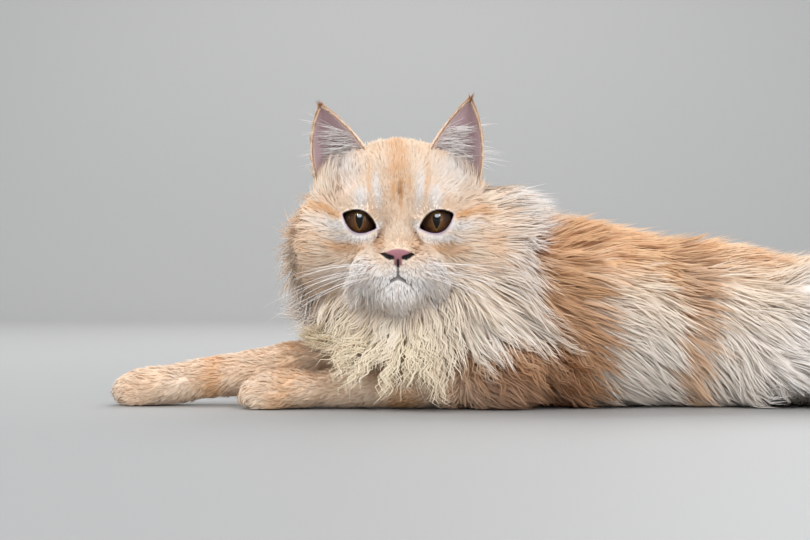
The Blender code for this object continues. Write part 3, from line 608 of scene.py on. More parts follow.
def markings(p, share):
    """How orange, brown, white and yellow the coat is at points where hairs grow."""
    along, _ = along_body(p)
    x, y, z = p.T
    blur = 5 * waves(p, 30, 1)
    band = along + BAND_START + BAND_LEAN * (z - 50) + blur
    front = stripe(band, BAND_PLACES[0], BAND_WIDTHS[0], 4)
    middle = stripe(band - 0.1 * (z - 50), BAND_PLACES[1], BAND_WIDTHS[1], 4)
    over = smooth((z + blur - SADDLE_HEIGHT) / 20)
    rump = smooth((along - 150) / 30)
    trunk = np.maximum.reduce([0.06 + 0 * x, 0.85 * front, 0.7 * middle, 0.85 * over, 0.6 * rump])
    trunk = np.maximum(trunk, 0.85 * smooth((100 - x) / 20) * smooth((62 - z) / 18))
    tail_way = np.sqrt(((p[:, None] - TAIL_PATH[None]) ** 2).sum(2)).argmin(1)
    streak = stripe(x - 0.9 * (z - 50), 222, 10)
    legs = 0.42 + 0.4 * stripe(x, -118, 7) + 0.3 * stripe(x, -70, 8) + 0.35 * stripe(x, 5, 18)
    legs = legs + 0.12 * waves(p, 26, 5)
    orange = mixed(
        share,
        head=np.maximum(0.28 + 0.12 * waves(p, 26, 2), spots(p, HEAD_ORANGE)),
        neck=0.10 + 0.1 * waves(p, 40, 3) + 0.7 * smooth((x - 68) / 14),
        torso=trunk,
        foreleg=legs,
        hindleg=np.maximum(0.3 * streak, np.maximum(0.9 * middle, over)),
        tail=0.45 + 0.3 * np.cos(tail_way * np.pi),
    )
    deep = smooth((band + 30) / 20) * smooth((14 - band) / 14) * smooth((118 - z) / 50)
    low = smooth((108 - x) / 26) * smooth((60 - z) / 22)
    brown = mixed(
        share,
        head=spots(p, HEAD_BROWN),
        neck=0,
        torso=0.6 * deep + 0.85 * low + 0.3 * middle,
        foreleg=0.65 * smooth((x - 30) / 20),
        hindleg=0.25 * middle,
        tail=0.12,
    )
    white = mixed(
        share,
        head=spots(p, HEAD_WHITE),
        neck=(0.78 + 0.2 * waves(p, 34, 6)) * smooth((84 - x) / 14),
        torso=0.7 * (1 - trunk) * smooth((92 - z) / 40),
        foreleg=0.15 + 0.5 * smooth((-176 - x) / 8),
        hindleg=0.9,
        tail=0.2,
    )
    bib = smooth((y < 60) * (92 - z) / 24) * smooth((54 - np.abs(x - 4)) / 24)
    yellow = mixed(share, head=0, neck=0.8 * bib, torso=0.12, foreleg=0.1, hindleg=0.05, tail=0)
    held_back = mixed(share, head=0.2, neck=0, torso=1, foreleg=1, hindleg=1, tail=1)
    white = white * (1 - smooth(orange - 0.25) * held_back)
    grain = 0.1 * waves(p, 9, 7)
    return [np.clip(mark + grain * (mark > 0.02), 0, 1) for mark in (orange, brown, white, yellow)]


on_brow = np.array([[0.0, 5, 140]])
print("marks on the brow:", np.round(markings(on_brow, shares(on_brow)), 2).ravel())

# %% [markdown]
# Nose, lids and lips are bare. Each place is found by a distance: to the outline of the nose's leather,
# to the almond between the lids, and to the grooves of nose and mouth. Skin is coloured by these, with
# painted shade in the grooves, and later no hair may grow or lie there.

# %% Bare places of the face
def leather(p):
    """1 on the pink leather of the nose, 0 off it."""
    x, y, z = p.T
    half = 2.5 + 6.0 * smooth((z - 94) / 4)
    inside = np.minimum(half - np.abs(x), np.minimum(z - 90.7, 101.0 - z - 0.035 * x * x))
    return smooth(inside / 1.4 + 0.5) * (y < -9)


def lid_edge(p):
    """Distance outside the opening of the nearer eye, as seen from the front."""
    return np.minimum(lid_gap(p, 1), lid_gap(p, -1))


def crease(p):
    """Distance to the grooves of mouth, lip and nostrils."""
    return np.min([cut(p) for cut in CUTS], axis=0)


def above_eye(p):
    """How far above the slanting middle line of the nearer eye."""
    return eye_plane(p, np.where(p[..., 0] < 0, -1, 1))[1]


print("leather at the tip of the nose:", leather(np.array([[0.0, -22.0, 97.0]])))

# %% [markdown]
# A material is a graph of nodes, but it reads best as a formula. One small class wraps a socket and
# lends it Python's operators, and every other node comes from one method that takes the node's type,
# its settings and what goes into its sockets.

# %% Shader maths
class Socket:
    """A node's output that can be calculated with."""

    def __init__(self, paint, output):
        self.paint, self.output = paint, output

    def maths(self, operation, *others):
        return self.paint.node("ShaderNodeMath", {"operation": operation}, dict(enumerate((self, *others))))

    def __add__(self, other):
        return self.maths("ADD", other)

    def __sub__(self, other):
        return self.maths("SUBTRACT", other)

    def __rsub__(self, other):
        return self.maths("MULTIPLY_ADD", -1.0, other)

    def __mul__(self, other):
        return self.maths("MULTIPLY", other)

    def __truediv__(self, other):
        return self.maths("DIVIDE", other)

    __radd__, __rmul__ = __add__, __mul__

    def root(self):
        return self.maths("SQRT")

    def step(self, low, high):
        """Rises softly from 0 to 1 as the value goes from low to high."""
        settings = {"interpolation_type": "SMOOTHSTEP"}
        values = {"Value": self, "From Min": low, "From Max": high}
        return self.paint.node("ShaderNodeMapRange", settings, values)


class Paint:
    """A material, and the nodes that make it."""

    def __init__(self, name):
        self.material = bpy.data.materials.new(name)
        self.material.use_nodes = True
        self.tree = self.material.node_tree
        self.shader = self.tree.nodes["Principled BSDF"]

    def node(self, kind, settings=None, values=None, output=0):
        made = self.tree.nodes.new(kind)
        for key, value in (settings or {}).items():
            setattr(made, key, value)
        self.feed(made, values or {})
        return Socket(self, made.outputs[output])

    def feed(self, node, values):
        for key, value in values.items():
            if isinstance(value, Socket):
                self.tree.links.new(value.output, node.inputs[key])
            else:
                node.inputs[key].default_value = value

    def finish(self, **values):
        """Sets the Principled shader's sockets, given with _ for each space in their names."""
        self.feed(self.shader, {key.replace("_", " "): value for key, value in values.items()})
        return self.material

    def mix(self, share, first, second, blend="MIX"):
        """Two colours mixed. The Mix node keeps its colours in sockets 6 and 7, and the result in 2."""
        settings = {"data_type": "RGBA", "blend_type": blend}
        return self.node("ShaderNodeMix", settings, {0: share, 6: first, 7: second}, 2)

    def both(self, share, first, second):
        """Ends the material in a mix of two shaders instead of the one that it starts with."""
        pair = self.node("ShaderNodeMixShader", None, {0: share, 1: first, 2: second})
        self.tree.links.new(pair.output, self.tree.nodes["Material Output"].inputs["Surface"])
        return self.material

    def attribute(self, name):
        """The three numbers that a mesh keeps at each point under a name."""
        vector = self.node("ShaderNodeAttribute", {"attribute_name": name}, None, "Vector")
        split = self.node("ShaderNodeSeparateXYZ", None, {0: vector}).output.node
        return [Socket(self, output) for output in split.outputs]


print("Paint is ready")

# %% [markdown]
# The colours of the coat are mixed from a few named ones, by the markings that each point of a mesh
# carries. Each hair has painted shade towards its root, for the shadow deep in the coat, so it is darker
# there and paler at its tip, and no two tufts are quite alike. Light passes through thin hair, so a fifth
# of each tuft's surface lets it through.

# %% Coat colours
CREAM = (0.96, 0.83, 0.68, 1)
ORANGE = (0.86, 0.50, 0.24, 1)
BROWN = (0.36, 0.15, 0.06, 1)
WHITE = (0.93, 0.92, 0.91, 1)
YELLOW = (0.93, 0.80, 0.53, 1)
# The colour at the roots is painted shade, for the shadow deep in the coat.
ROOT_PAINTED_SHADE = (0.80, 0.64, 0.50, 1)
THIN_HAIR = (0.92, 0.72, 0.52, 1)
UNDER_FUR_PAINTED_SHADE = (0.96, 0.93, 0.91, 1)
LILAC = (0.60, 0.47, 0.55, 1)
LEATHER = (0.36, 0.15, 0.17, 1)
LID_RIM_AND_CREASE_SHADE = (0.009, 0.004, 0.004, 1)
YELLOWNESS, ROOT_SHADE_REACH, ROOT_SHADE_STRENGTH = 0.9, 0.55, 0.18
TONE_LOW, TONE_SPAN = 0.95, 0.14
LIGHT_THROUGH = 0.2


def coat_colour(paint):
    """The coat's colour from the marks (orange, brown, white) and the look (yellow, along, tone)."""
    orange, brown, white = paint.attribute("marks")
    yellow, along, tone = paint.attribute("look")
    colour = CREAM
    for share, other in ((orange, ORANGE), (white, WHITE), (yellow * YELLOWNESS, YELLOW), (brown, BROWN)):
        colour = paint.mix(share, colour, other)
    # Painted shade: each hair is darkened towards its root.
    root = (1 - along.step(0.0, ROOT_SHADE_REACH)) * ROOT_SHADE_STRENGTH
    colour = paint.mix(root, colour, ROOT_PAINTED_SHADE, "MULTIPLY")
    brightness = tone * TONE_SPAN + TONE_LOW
    return paint.node("ShaderNodeHueSaturation", None, {"Color": colour, "Value": brightness})


def coat_material():
    """Soft hair with a faint gloss, which lets some light through."""
    paint = Paint("coat")
    paint.finish(Base_Color=coat_colour(paint), Roughness=0.7, Specular_IOR_Level=0.25)
    glow = paint.node("ShaderNodeBsdfTranslucent", None, {"Color": THIN_HAIR})
    return paint.both(LIGHT_THROUGH, Socket(paint, paint.shader.outputs[0]), glow)


def skin_material():
    """Skin between hairs in the coat's own colours, with painted shade and a fine grain of short fur."""
    paint = Paint("skin")
    places = paint.node("ShaderNodeTexCoord", None, None, "Object")
    grain = paint.node("ShaderNodeTexNoise", None, {"Vector": places, "Scale": 900.0, "Detail": 2.0}, "Fac")
    bump = paint.node("ShaderNodeBump", None, {"Height": grain, "Strength": 0.4, "Distance": 0.0006})
    bare, rim_and_crease_shade, pink = paint.attribute("bare")
    # Painted shade: the skin is darkened a little, as the hairs over it would shade it.
    shaded = paint.mix(1.0, coat_colour(paint), UNDER_FUR_PAINTED_SHADE, "MULTIPLY")
    colour = paint.mix(bare, shaded, LILAC)
    colour = paint.mix(pink, colour, LEATHER)
    # Dark lid rims, and painted shade in the grooves of nostrils, lip and mouth.
    colour = paint.mix(rim_and_crease_shade, colour, LID_RIM_AND_CREASE_SHADE)
    return paint.finish(Base_Color=colour, Roughness=0.75 - pink * 0.25, Specular_IOR_Level=0.3, Normal=bump)


COAT, SKIN = coat_material(), skin_material()
print("materials:", COAT.name, SKIN.name)

# %% [markdown]
# A mesh of many thousand points is quickest to make in whole arrays: the points, then each face's
# corners end to end, then the numbers that the material reads. Made point by point, the coat would take
# minutes. A piece also rides on the solids' root body.

# %% A mesh from arrays
def add_piece(name, points, polygons, material, slot, numbers=(), uv=None, normals=None):
    """An object from points in millimetres, arrays of polygons, and named numbers at each point."""
    mesh = bpy.data.meshes.new(name)
    corners = np.concatenate([group.ravel() for group in polygons])
    sizes = np.concatenate([np.full(len(group), group.shape[1]) for group in polygons])
    mesh.vertices.add(len(points))
    mesh.vertices.foreach_set("co", placed(points).ravel())
    mesh.loops.add(len(corners))
    mesh.loops.foreach_set("vertex_index", corners)
    mesh.polygons.add(len(sizes))
    mesh.polygons.foreach_set("loop_start", np.cumsum(sizes) - sizes)
    mesh.polygons.foreach_set("use_smooth", np.ones(len(sizes), bool))
    mesh.update(calc_edges=True)
    for key, values in dict(numbers).items():
        layer = mesh.attributes.new(key, "FLOAT_VECTOR", "POINT")
        layer.data.foreach_set("vector", np.stack(list(values), 1).astype(np.float32).ravel())
    if uv is not None:
        layer = mesh.uv_layers.new(name="OFBake")
        layer.data.foreach_set("uv", uv[corners].astype(np.float32).ravel())
    if normals is not None:
        mesh.normals_split_custom_set(normals)
    mesh.materials.append(material)
    obj = bpy.data.objects.new(name, mesh)
    bpy.context.scene.collection.objects.link(obj)
    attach(obj, "root")
    return obj


print(add_piece.__name__, "is ready")

# %% [markdown]
# How deep the coat stands, how long its hairs are and how much they curl is told for any point of the
# body. Each part has its own plain measure, and soft lumps add to it: full cheeks, puffy pads, a tuft
# on the chin, the deep ruff, and wavy locks on bib and shoulder.

# %% How deep, how long and how curly
def bump(p, middle, size):
    """A soft lump of height 1 at a middle, with its size along each axis."""
    return np.exp(-(((p - np.array(middle)) / np.array(size)) ** 2).sum(1))


def paired(p, middle, size):
    """Two soft lumps, one on each side of the face."""
    x, y, z = middle
    return bump(p, (x, y, z), size) + bump(p, (-x, y, z), size)


def near_ear(p):
    """1 on the skull round the roots of the ears, falling to 0 away from them."""
    return paired(p, (36, 38, 154), (17, 20, 15))


EYES_FLAT = [EYE_MIDDLE * (side, 0, 1) for side in (-1, 1)]
BARE_PLACES = [(EYES_FLAT[0], 14), (EYES_FLAT[1], 14), ((0, -18, 96), 10), ((0, -14, 85), 8)]
DEPTH = dict(head=1.5, neck=15, torso=15, foreleg=2.0, hindleg=13, tail=16)
LENGTH = dict(head=4.4, neck=31, torso=36, foreleg=6.5, hindleg=32, tail=38)
CURL = dict(head=0, neck=0.5, torso=0.3, foreleg=0.2, hindleg=0.2, tail=0.3)
STAND = dict(head=0, neck=0, torso=0.1, foreleg=0, hindleg=0.1, tail=0.1)


def bareness(p):
    """From 0 under fur to 1 at the lids, the nose leather and the lips."""
    return np.max([bump(p, middle, (size, size, size)) for middle, size in BARE_PLACES], axis=0)


def style(p, share):
    """The coat's depth and length at points of the skin, how far it curls and stands, and where it curls."""
    x, y, z = p.T
    cheek = smooth((np.abs(x) - 20) / 20) * smooth((152 - z) / 26) * smooth((y - 2) / 16)
    back = smooth((y - 16) / 26)
    near = 1 - 0.8 * bareness(p)
    chin = bump(p, (0, -4, 68), (14, 14, 8))
    pad = paired(p, (24, -2, 86), (11, 13, 9))
    jaw = paired(p, (22, 6, 76), (12, 16, 9))
    by_ear = near_ear(p)
    crown = smooth((z - 148) / 16)
    ruff = smooth((92 - x) / 36) * smooth((160 - z) / 30) * smooth((96 - y) / 20)
    far_right = smooth((x - 44) / 26) * smooth((z - 84) / 24)
    low = smooth((28 - z) / 20)
    elbow = smooth((x - 26) / 26)
    foot = smooth((26 - z) / 10)
    full = 9 * cheek + 2.5 * back + 2.5 * chin + 3.0 * pad + 3 * jaw
    depth = mixed(
        share,
        head=(DEPTH["head"] + full) * near + 2.5 * by_ear + 1.5 * crown,
        neck=DEPTH["neck"] + (10 - 4 * far_right) * ruff,
        torso=DEPTH["torso"] - 6 * low,
        foreleg=DEPTH["foreleg"] + 6 * elbow,
        hindleg=DEPTH["hindleg"] - 10 * foot,
        tail=DEPTH["tail"],
    )
    longer = 25 * cheek + 5 * back + 10 * chin + 13 * pad + 12 * jaw
    length = mixed(
        share,
        head=(LENGTH["head"] + longer) * near + 10 * by_ear + 5 * crown,
        neck=LENGTH["neck"] + (13 - 16 * far_right) * ruff,
        torso=LENGTH["torso"] - 12 * low,
        foreleg=LENGTH["foreleg"] + 16 * elbow,
        hindleg=LENGTH["hindleg"] - 23 * foot,
        tail=LENGTH["tail"],
    )
    bib = smooth((90 - z) / 20) * smooth((62 - y) / 20) * smooth((72 - np.abs(x - 4)) / 26)
    shoulder = smooth((118 - x) / 20) * smooth((66 - z) / 20) * smooth((60 - y) / 20)
    wavy = {"neck": CURL["neck"] + 2.1 * bib, "torso": CURL["torso"] + 1.5 * shoulder}
    curl = mixed(share, **{**CURL, **wavy})
    loose = np.clip(0.4 * cheek + 0.8 * pad + 0.6 * chin + 0.6 * jaw + 0.5 * by_ear, 0, 0.85)
    stand = mixed(share, **{**STAND, "head": loose, "neck": 0.55 * ruff * (1 - 0.6 * bib)})
    curly = bib * share[:, NAMES.index("neck")] + shoulder * share[:, NAMES.index("torso")]
    return depth, length, curl, stand, curly


print("plain length of hair in mm, by part:", LENGTH)

# %% [markdown]
# Fur lies in streams: up the brow and back over the crown, outward over the cheeks and ruff, down the
# chest, and back along the trunk to the tail. Combing it by hand would be another way. Here the stream
# is a direction for each point, one short function for each part of the body, mixed by the same shares
# as the colours, so that it turns softly where two parts meet.

# %% The lie of the coat
def away_from_face(p, back, down, height=104.0):
    """Out from the middle of the face as seen from the front, backwards and down."""
    way = p - np.array([0.0, 0.0, height])
    way[:, 1] = 0
    return unit(way) + np.stack([0 * p[:, 0], back + 0 * p[:, 0], -down + 0 * p[:, 0]], 1)


def head_lie(p):
    """Up over the brow and back over the crown, out over the cheeks, down and out from the muzzle."""
    crown = smooth((p[:, 2] - 140) / 30)
    way = unit(away_from_face(p, 0.35 + 1.2 * crown, 0.25 * smooth((104 - p[:, 2]) / 10), 100.0))
    for middle in EYES_FLAT:
        q = p - middle
        far = np.linalg.norm(q, axis=1, keepdims=True)
        way = way + 2.2 * q / far * np.exp(-((far / 17) ** 4))
    past_ear = np.stack([0.9 * np.sign(p[:, 0]), np.full(len(p), -0.6), np.full(len(p), 1.6)], 1)
    return way + near_ear(p)[:, None] * past_ear


def down_the_body(p):
    """Towards the tail, and down over the flanks."""
    _, side = along_body(p)
    fall = np.clip(side / 50, 0, 1) * np.clip(1.25 - p[:, 2] / 110, 0, 1)
    return SPINE_WAY - np.array([0, 0, 1.0]) * fall[:, None]


def down_the_bib(p):
    """Straight down, a little forward and to the sides."""
    spread = np.clip((p[:, 0] - 15) / 60, -0.5, 0.8)
    return unit(np.stack([spread, np.full(len(p), -0.15), np.full(len(p), -1.0)], 1))


def neck_lie(p):
    """Ruff hair runs away from the face, hangs below the chin, and runs back along the nape."""
    bib, back = down_the_bib(p), unit(down_the_body(p))
    droop = 0.35 + 1.1 * smooth((p[:, 0] - 25) / 70)
    ruff = unit(away_from_face(p, -0.1, droop))
    low = (smooth((92 - p[:, 2]) / 34) * smooth((78 - p[:, 1]) / 30))[:, None]
    rear = smooth((p[:, 0] - 78) / 30)[:, None]
    way = ruff * (1 - low) * (1 - rear) + bib * low * (1 - 0.6 * rear) + back * rear * (1 - 0.4 * low)
    nape = smooth((p[:, 1] - 68) / 22)[:, None]
    outward = np.stack([0.012 * (p[:, 0] - 6), 0.15 + 0 * p[:, 0], -1.0 + 0 * p[:, 0]], 1)
    return way * (1 - nape) + (unit(outward) * (1 - rear) + back * rear) * nape


def torso_lie(p):
    """Chest hair hangs, and the rest runs down the body."""
    front = smooth((70 - p[:, 0]) / 34)[:, None]
    return unit(down_the_body(p)) * (1 - front) + down_the_bib(p) * front


def foreleg_lie(p):
    """Towards the paw and down its sides, and back from the elbow."""
    elbow = smooth((p[:, 0] - 20) / 40)[:, None]
    return np.array([-1.0, 0, -0.25]) * (1 - elbow) + (SPINE_WAY - np.array([0, 0, 0.7])) * elbow


def hindleg_lie(p):
    """Down the thigh, and forward and outward over the foot."""
    foot = smooth((18 - p[:, 2]) / 8)[:, None]
    outward = np.sign(sideways(p))[:, None] * SIDE_WAY
    return unit(down_the_body(p)) * (1 - foot) + unit(outward - 0.5 * SPINE_WAY) * foot


def tail_lie(p):
    """Along the tail to its tip."""
    middles = (TAIL_PATH[1:] + TAIL_PATH[:-1]) / 2
    nearest = np.argmin(((p[:, None] - middles[None]) ** 2).sum(2), axis=1)
    return unit(TAIL_PATH[1:] - TAIL_PATH[:-1])[nearest]


LIES = {
    "head": head_lie,
    "neck": neck_lie,
    "torso": torso_lie,
    "foreleg": foreleg_lie,
    "hindleg": hindleg_lie,
    "tail": tail_lie,
}


def lie(p, share):
    """The way that hair lies at each point, mixed from the parts that it belongs to."""
    way = np.zeros_like(p)
    for k, name in enumerate(NAMES):
        own = share[:, k] > 0.01
        if own.any():
            way[own] += share[own, k : k + 1] * unit(LIES[name.split("_")[0]](p[own]))
    return unit(way)


on_flank = np.array([[200.0, 30, 60]])
print("on the near flank hair lies", np.round(lie(on_flank, shares(on_flank))[0], 2))

# %% [markdown]
# Under the long hairs a persian wears a dense woolly undercoat. It would take hundreds of thousands of
# hairs more to model, so the skin is moved out to the top of it instead: a gap between two locks then
# shows soft wool and not a dark pit. Where head and neck meet the skin stays in, because the hairs
# there part.

# %% The woolly undercoat
UNDERCOAT, SHORT_FUR = 0.58, 3.0
THROAT, NAPE = ((-4, 22, 64), (52, 34, 20)), ((2, 92, 128), (34, 22, 26))
CARVED, LEAST_WOOL, PADDING_STEPS = 0.8, 0.05, 4


def padded(points, share):
    """The skin's points moved out to the top of the undercoat, where the coat is deep."""
    head = share[:, 0]
    behind_face = 1 - head * (1 - smooth((points[:, 1] - 12) / 18))
    seam = smooth(6 * head * (1 - head))
    parted = np.minimum(bump(points, *THROAT) + bump(points, *NAPE), 1)
    wool = UNDERCOAT * np.maximum(style(points, share)[0] - SHORT_FUR, 0)
    thick = wool * behind_face * (1 - seam) * (1 - parted)
    carved = np.abs(flesh(points)) > CARVED
    thick[carved] = 0
    moved = points
    for _ in range(PADDING_STEPS):
        lift = np.where(carved | (thick < LEAST_WOOL), 0, thick - flesh(moved))
        moved = moved + slope_of(flesh, moved, 1.0) * (0.8 * lift)[:, None]
    moved[:, 2] = np.maximum(moved[:, 2], FLOOR_SKIN)
    return moved


print("undercoat on the flank:", round(UNDERCOAT * (DEPTH["torso"] - SHORT_FUR), 1), "mm")

# %% [markdown]
# A cat's ears are thin cups of skin. Each is a sheet bent between two rims that meet at its tip, given
# two faces and an edge, and sunk into the skull. A cone would be simpler, but it has no rolled rim and
# no hollow to look into.

# %% Ears
EAR_IN, EAR_OUT = np.array([19.0, 34.0, 163.0]), np.array([51.0, 50.0, 140.0])
EAR_TIPS = {-1: np.array([49.5, 41.0, 193.5]), 1: np.array([46.0, 41.0, 197.5])}
EAR_ROWS, EAR_SPAN, EAR_HALF = 34, 26, 0.8


def ear_point(side, up, across):
    """A point of an ear's sheet: up from its root to its tip, across from the inner rim to the outer."""
    up, across = np.asarray(up, float)[..., None], np.asarray(across, float)[..., None]
    tip = EAR_TIPS[side]
    bow = 4 * up * (1 - up)
    a = EAR_IN + (tip - EAR_IN) * up + bow * np.array([-1.5, -1.0, 1.5])
    b = EAR_OUT + (tip - EAR_OUT) * up + bow * np.array([5.5, 0.0, 1.0])
    cup = np.array([0.1, 1.0, 0.15]) * 0.46 * np.linalg.norm(b - a, axis=-1, keepdims=True)
    point = a * (1 - across) + b * across + cup * 4 * across * (1 - across)
    return point * np.array([side, 1, 1])


def ear_mesh(side):
    """Both faces of an ear's sheet and its rim, as points and squares, and how far inside each point is."""
    up, across = np.meshgrid(np.linspace(-0.25, 1, EAR_ROWS), np.linspace(0, 1, EAR_SPAN), indexing="ij")
    up = np.minimum(up, 0.985)
    sheet = ear_point(side, up, across)
    normal = unit(np.cross(np.gradient(sheet, axis=0), np.gradient(sheet, axis=1))) * side
    thin = EAR_HALF * np.minimum(1, 1.2 * np.sqrt(1.02 - up))[..., None]
    points = np.concatenate([(sheet + normal * thin).reshape(-1, 3), (sheet - normal * thin).reshape(-1, 3)])
    count = EAR_ROWS * EAR_SPAN
    a = (np.arange(EAR_ROWS - 1)[:, None] * EAR_SPAN + np.arange(EAR_SPAN - 1)).ravel()
    front = np.stack([a, a + 1, a + 1 + EAR_SPAN, a + EAR_SPAN], 1)
    rim = list(range(EAR_SPAN)) + [i * EAR_SPAN + EAR_SPAN - 1 for i in range(1, EAR_ROWS)]
    rim += [(EAR_ROWS - 1) * EAR_SPAN + j for j in range(EAR_SPAN - 2, -1, -1)]
    rim += [i * EAR_SPAN for i in range(EAR_ROWS - 2, 0, -1)]
    rim = np.array(rim)
    edge = np.stack([rim, np.roll(rim, -1), np.roll(rim, -1) + count, rim + count], 1)
    squares = np.concatenate([front, front[:, ::-1] + count, edge[:, ::-1]])
    if side < 0:
        squares = squares[:, ::-1]
    hollow = np.repeat([0.0, 1.0], count)
    rimmed = np.tile(4 * (across * (1 - across)).ravel(), 2)
    return points, squares, hollow, rimmed, np.tile(up.ravel(), 2)


print("ear sheet:", EAR_ROWS, "by", EAR_SPAN, "points,", 2 * EAR_HALF, "mm thick")

# %% [markdown]
# The skin is one mesh, so that nothing shows a seam: the carved surface, moved out to the undercoat,
# and both ears. It stands for all the solids of flesh. Hair carries its colour tailwards, so the skin
# takes the markings from a little upstream and matches the hairs that lie over it.

# %% The skin
COLOUR_CARRY, STILL_LENGTH = 0.4, 8
MOUTH_PALER = 0.3


def join_skin():
    """The carved surface and both ears, as one mesh with its colours."""
    share = shares(skin_points)
    carry = COLOUR_CARRY * np.maximum(style(skin_points, share)[1] - STILL_LENGTH, 0)
    upstream = skin_points - carry[:, None] * lie(skin_points, share)
    orange, brown, white, yellow = markings(upstream, share)
    ones = np.ones(len(skin_points))
    edge = lid_edge(skin_points)
    in_front = smooth((14 - skin_points[:, 1]) / 3)
    pink = leather(skin_points)
    # Painted shade: the grooves of nostrils, lip and mouth are darkened to near black, less at the mouth.
    crease_shade = smooth((1.0 - crease(skin_points)) / 0.8) * (skin_points[:, 1] < 0)
    upper = smooth(above_eye(skin_points) / 2)
    lid_line = smooth(((0.45 + 0.75 * upper) - edge) / 0.5) * in_front
    rim_and_crease_shade = np.maximum(lid_line, crease_shade * (1 - MOUTH_PALER * (skin_points[:, 2] < 90)))
    bare = smooth((1.7 - edge) / 0.9) * in_front * (1 - upper)
    columns = [[orange], [brown], [white], [yellow], [0.55 * ones], [0.5 * ones], [bare], [rim_and_crease_shade], [pink]]
    points, squares = [padded(skin_points, share)], [skin_squares]
    for side in (-1, 1):
        ear, faces, hollow, rimmed, up = ear_mesh(side)
        squares.append(faces + sum(len(group) for group in points))
        points.append(ear)
        inner = 0.8 * hollow * smooth(rimmed / 0.25)
        tip = 0.2 * smooth((up - 0.85) / 0.1)
        for column, value in zip(columns, (0.5, tip, 0.2, 0, 0.5, 0.5, inner, 0, 0.25 * inner)):
            column.append(np.broadcast_to(value, len(ear)))
    columns = [np.concatenate(column) for column in columns]
    numbers = {"marks": columns[0:3], "look": columns[3:6], "bare": columns[6:9]}
    piece = add_piece("skin", np.concatenate(points), [np.concatenate(squares)], SKIN, "fur_body", numbers)
    flesh_nodes = [name for name in frame["nodes"] if not name.startswith("eye")]
    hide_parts(*flesh_nodes)
    return piece


skin_obj = join_skin()
print("skin piece:", len(skin_obj.data.polygons), "faces")

# %% [markdown]
# An eye is a dark ball with the iris as a shallow disc set back in it, under a clear bulging cornea.
# Each is turned on a lathe: a line of radius and depth, spun round the way the eye looks. The iris is
# painted by its own formulas: a slit pupil, fine streaks, a pale ring by the pupil and a dark rim.

# %% Eyes
LATHE_SIDES = 72
IRIS_RADIUS, IRIS_DEPTH, CORNEA_BULGE = 9.7, 7.4, 11.4


def turned(name, profile, side, material, slot):
    """A closed shape turned about the line of sight, from (radius, depth behind the eye's middle)."""
    profile = np.array(profile, float)
    turn = 2 * np.pi * np.arange(LATHE_SIDES) / LATHE_SIDES
    rings = profile[1:-1]
    depth = np.repeat(rings[:, 1:], LATHE_SIDES, 1)
    points = np.stack([rings[:, :1] * np.cos(turn), depth, rings[:, :1] * np.sin(turn)], -1).reshape(-1, 3)
    points = np.vstack([points, [[0, profile[0][1], 0], [0, profile[-1][1], 0]]])
    row, last = LATHE_SIDES, (len(rings) - 1) * LATHE_SIDES
    j = np.arange(row)
    k = (j + 1) % row
    squares = [np.stack([i + j, i + k, i + row + k, i + row + j], 1) for i in range(0, last, row)]
    caps = [np.stack([np.full(row, len(points) - 2), k, j], 1)]
    caps.append(np.stack([np.full(row, len(points) - 1), last + j, last + k], 1))
    polygons = [np.concatenate(squares), np.concatenate(caps)]
    return add_piece(name, points + EYE_MIDDLE * (side, 1, 1), polygons, material, slot, {"eye": points.T})


print("an iris is", 2 * IRIS_RADIUS, "mm across")

# %% [markdown]
# The iris is painted by the place of each point in the eye, in millimetres. The cornea is clear, so it
# lets the iris through and only mirrors a little. A cat's eye shows a bright spot where a window or a
# lamp is mirrored; a soft box is too large to make one, so the spot is painted, near the top.

# %% Paint for iris and cornea
IRIS_INNER, IRIS_OUTER = (0.150, 0.056, 0.010, 1), (0.036, 0.013, 0.004, 1)
IRIS_EDGE, PUPIL_GLOW = (0.004, 0.002, 0.002, 1), (0.20, 0.10, 0.025, 1)
PUPIL = (0.0005, 0.0005, 0.0005, 1)
PUPIL_HALF_WIDTH, PUPIL_WIDENS, PUPIL_HALF_HEIGHT = 2.2, 0.22, 4.6
STREAKS = {"Scale": 9.0, "Detail": 3.0, "Roughness": 0.7}
GLINT_PLACE, GLINT_SIZE, GLINT_FLATTER = (0.1, 3.3), 1.75, 1.3
GLINT_STRENGTH, MIRRORED = 0.85, 0.010


def iris_material():
    """An amber iris with a slit pupil, painted on the disc by its place in the eye."""
    paint = Paint("iris")
    x, _, z = paint.attribute("eye")
    radius = (x * x + z * z).root()
    wide, high = x / (z * PUPIL_WIDENS + PUPIL_HALF_WIDTH), z / PUPIL_HALF_HEIGHT
    slit = (wide * wide + high * high).root()
    round_it = {0: x / (radius + 0.5), 1: z / (radius + 0.5), 2: radius * 0.04}
    spokes = paint.node("ShaderNodeCombineXYZ", None, round_it)
    streaks = paint.node("ShaderNodeTexNoise", None, {"Vector": spokes, **STREAKS}, "Fac")
    cloud = paint.node("ShaderNodeTexNoise", None, {"Vector": spokes, "Scale": 2.5, "Detail": 1.0}, "Fac")
    colour = paint.mix((radius / IRIS_RADIUS + cloud * 0.5 - 0.25).step(0.30, 0.80), IRIS_INNER, IRIS_OUTER)
    colour = paint.mix((streaks - 0.3) * 0.7, colour, IRIS_EDGE)
    colour = paint.mix((1 - slit.step(1.15, 1.55)) * 0.8, colour, PUPIL_GLOW)
    colour = paint.mix(1 - slit.step(0.95, 1.15), colour, PUPIL)
    colour = paint.mix((radius / IRIS_RADIUS).step(0.90, 1.02), colour, IRIS_EDGE)
    return paint.finish(Base_Color=colour, Roughness=0.5, Specular_IOR_Level=0.1)


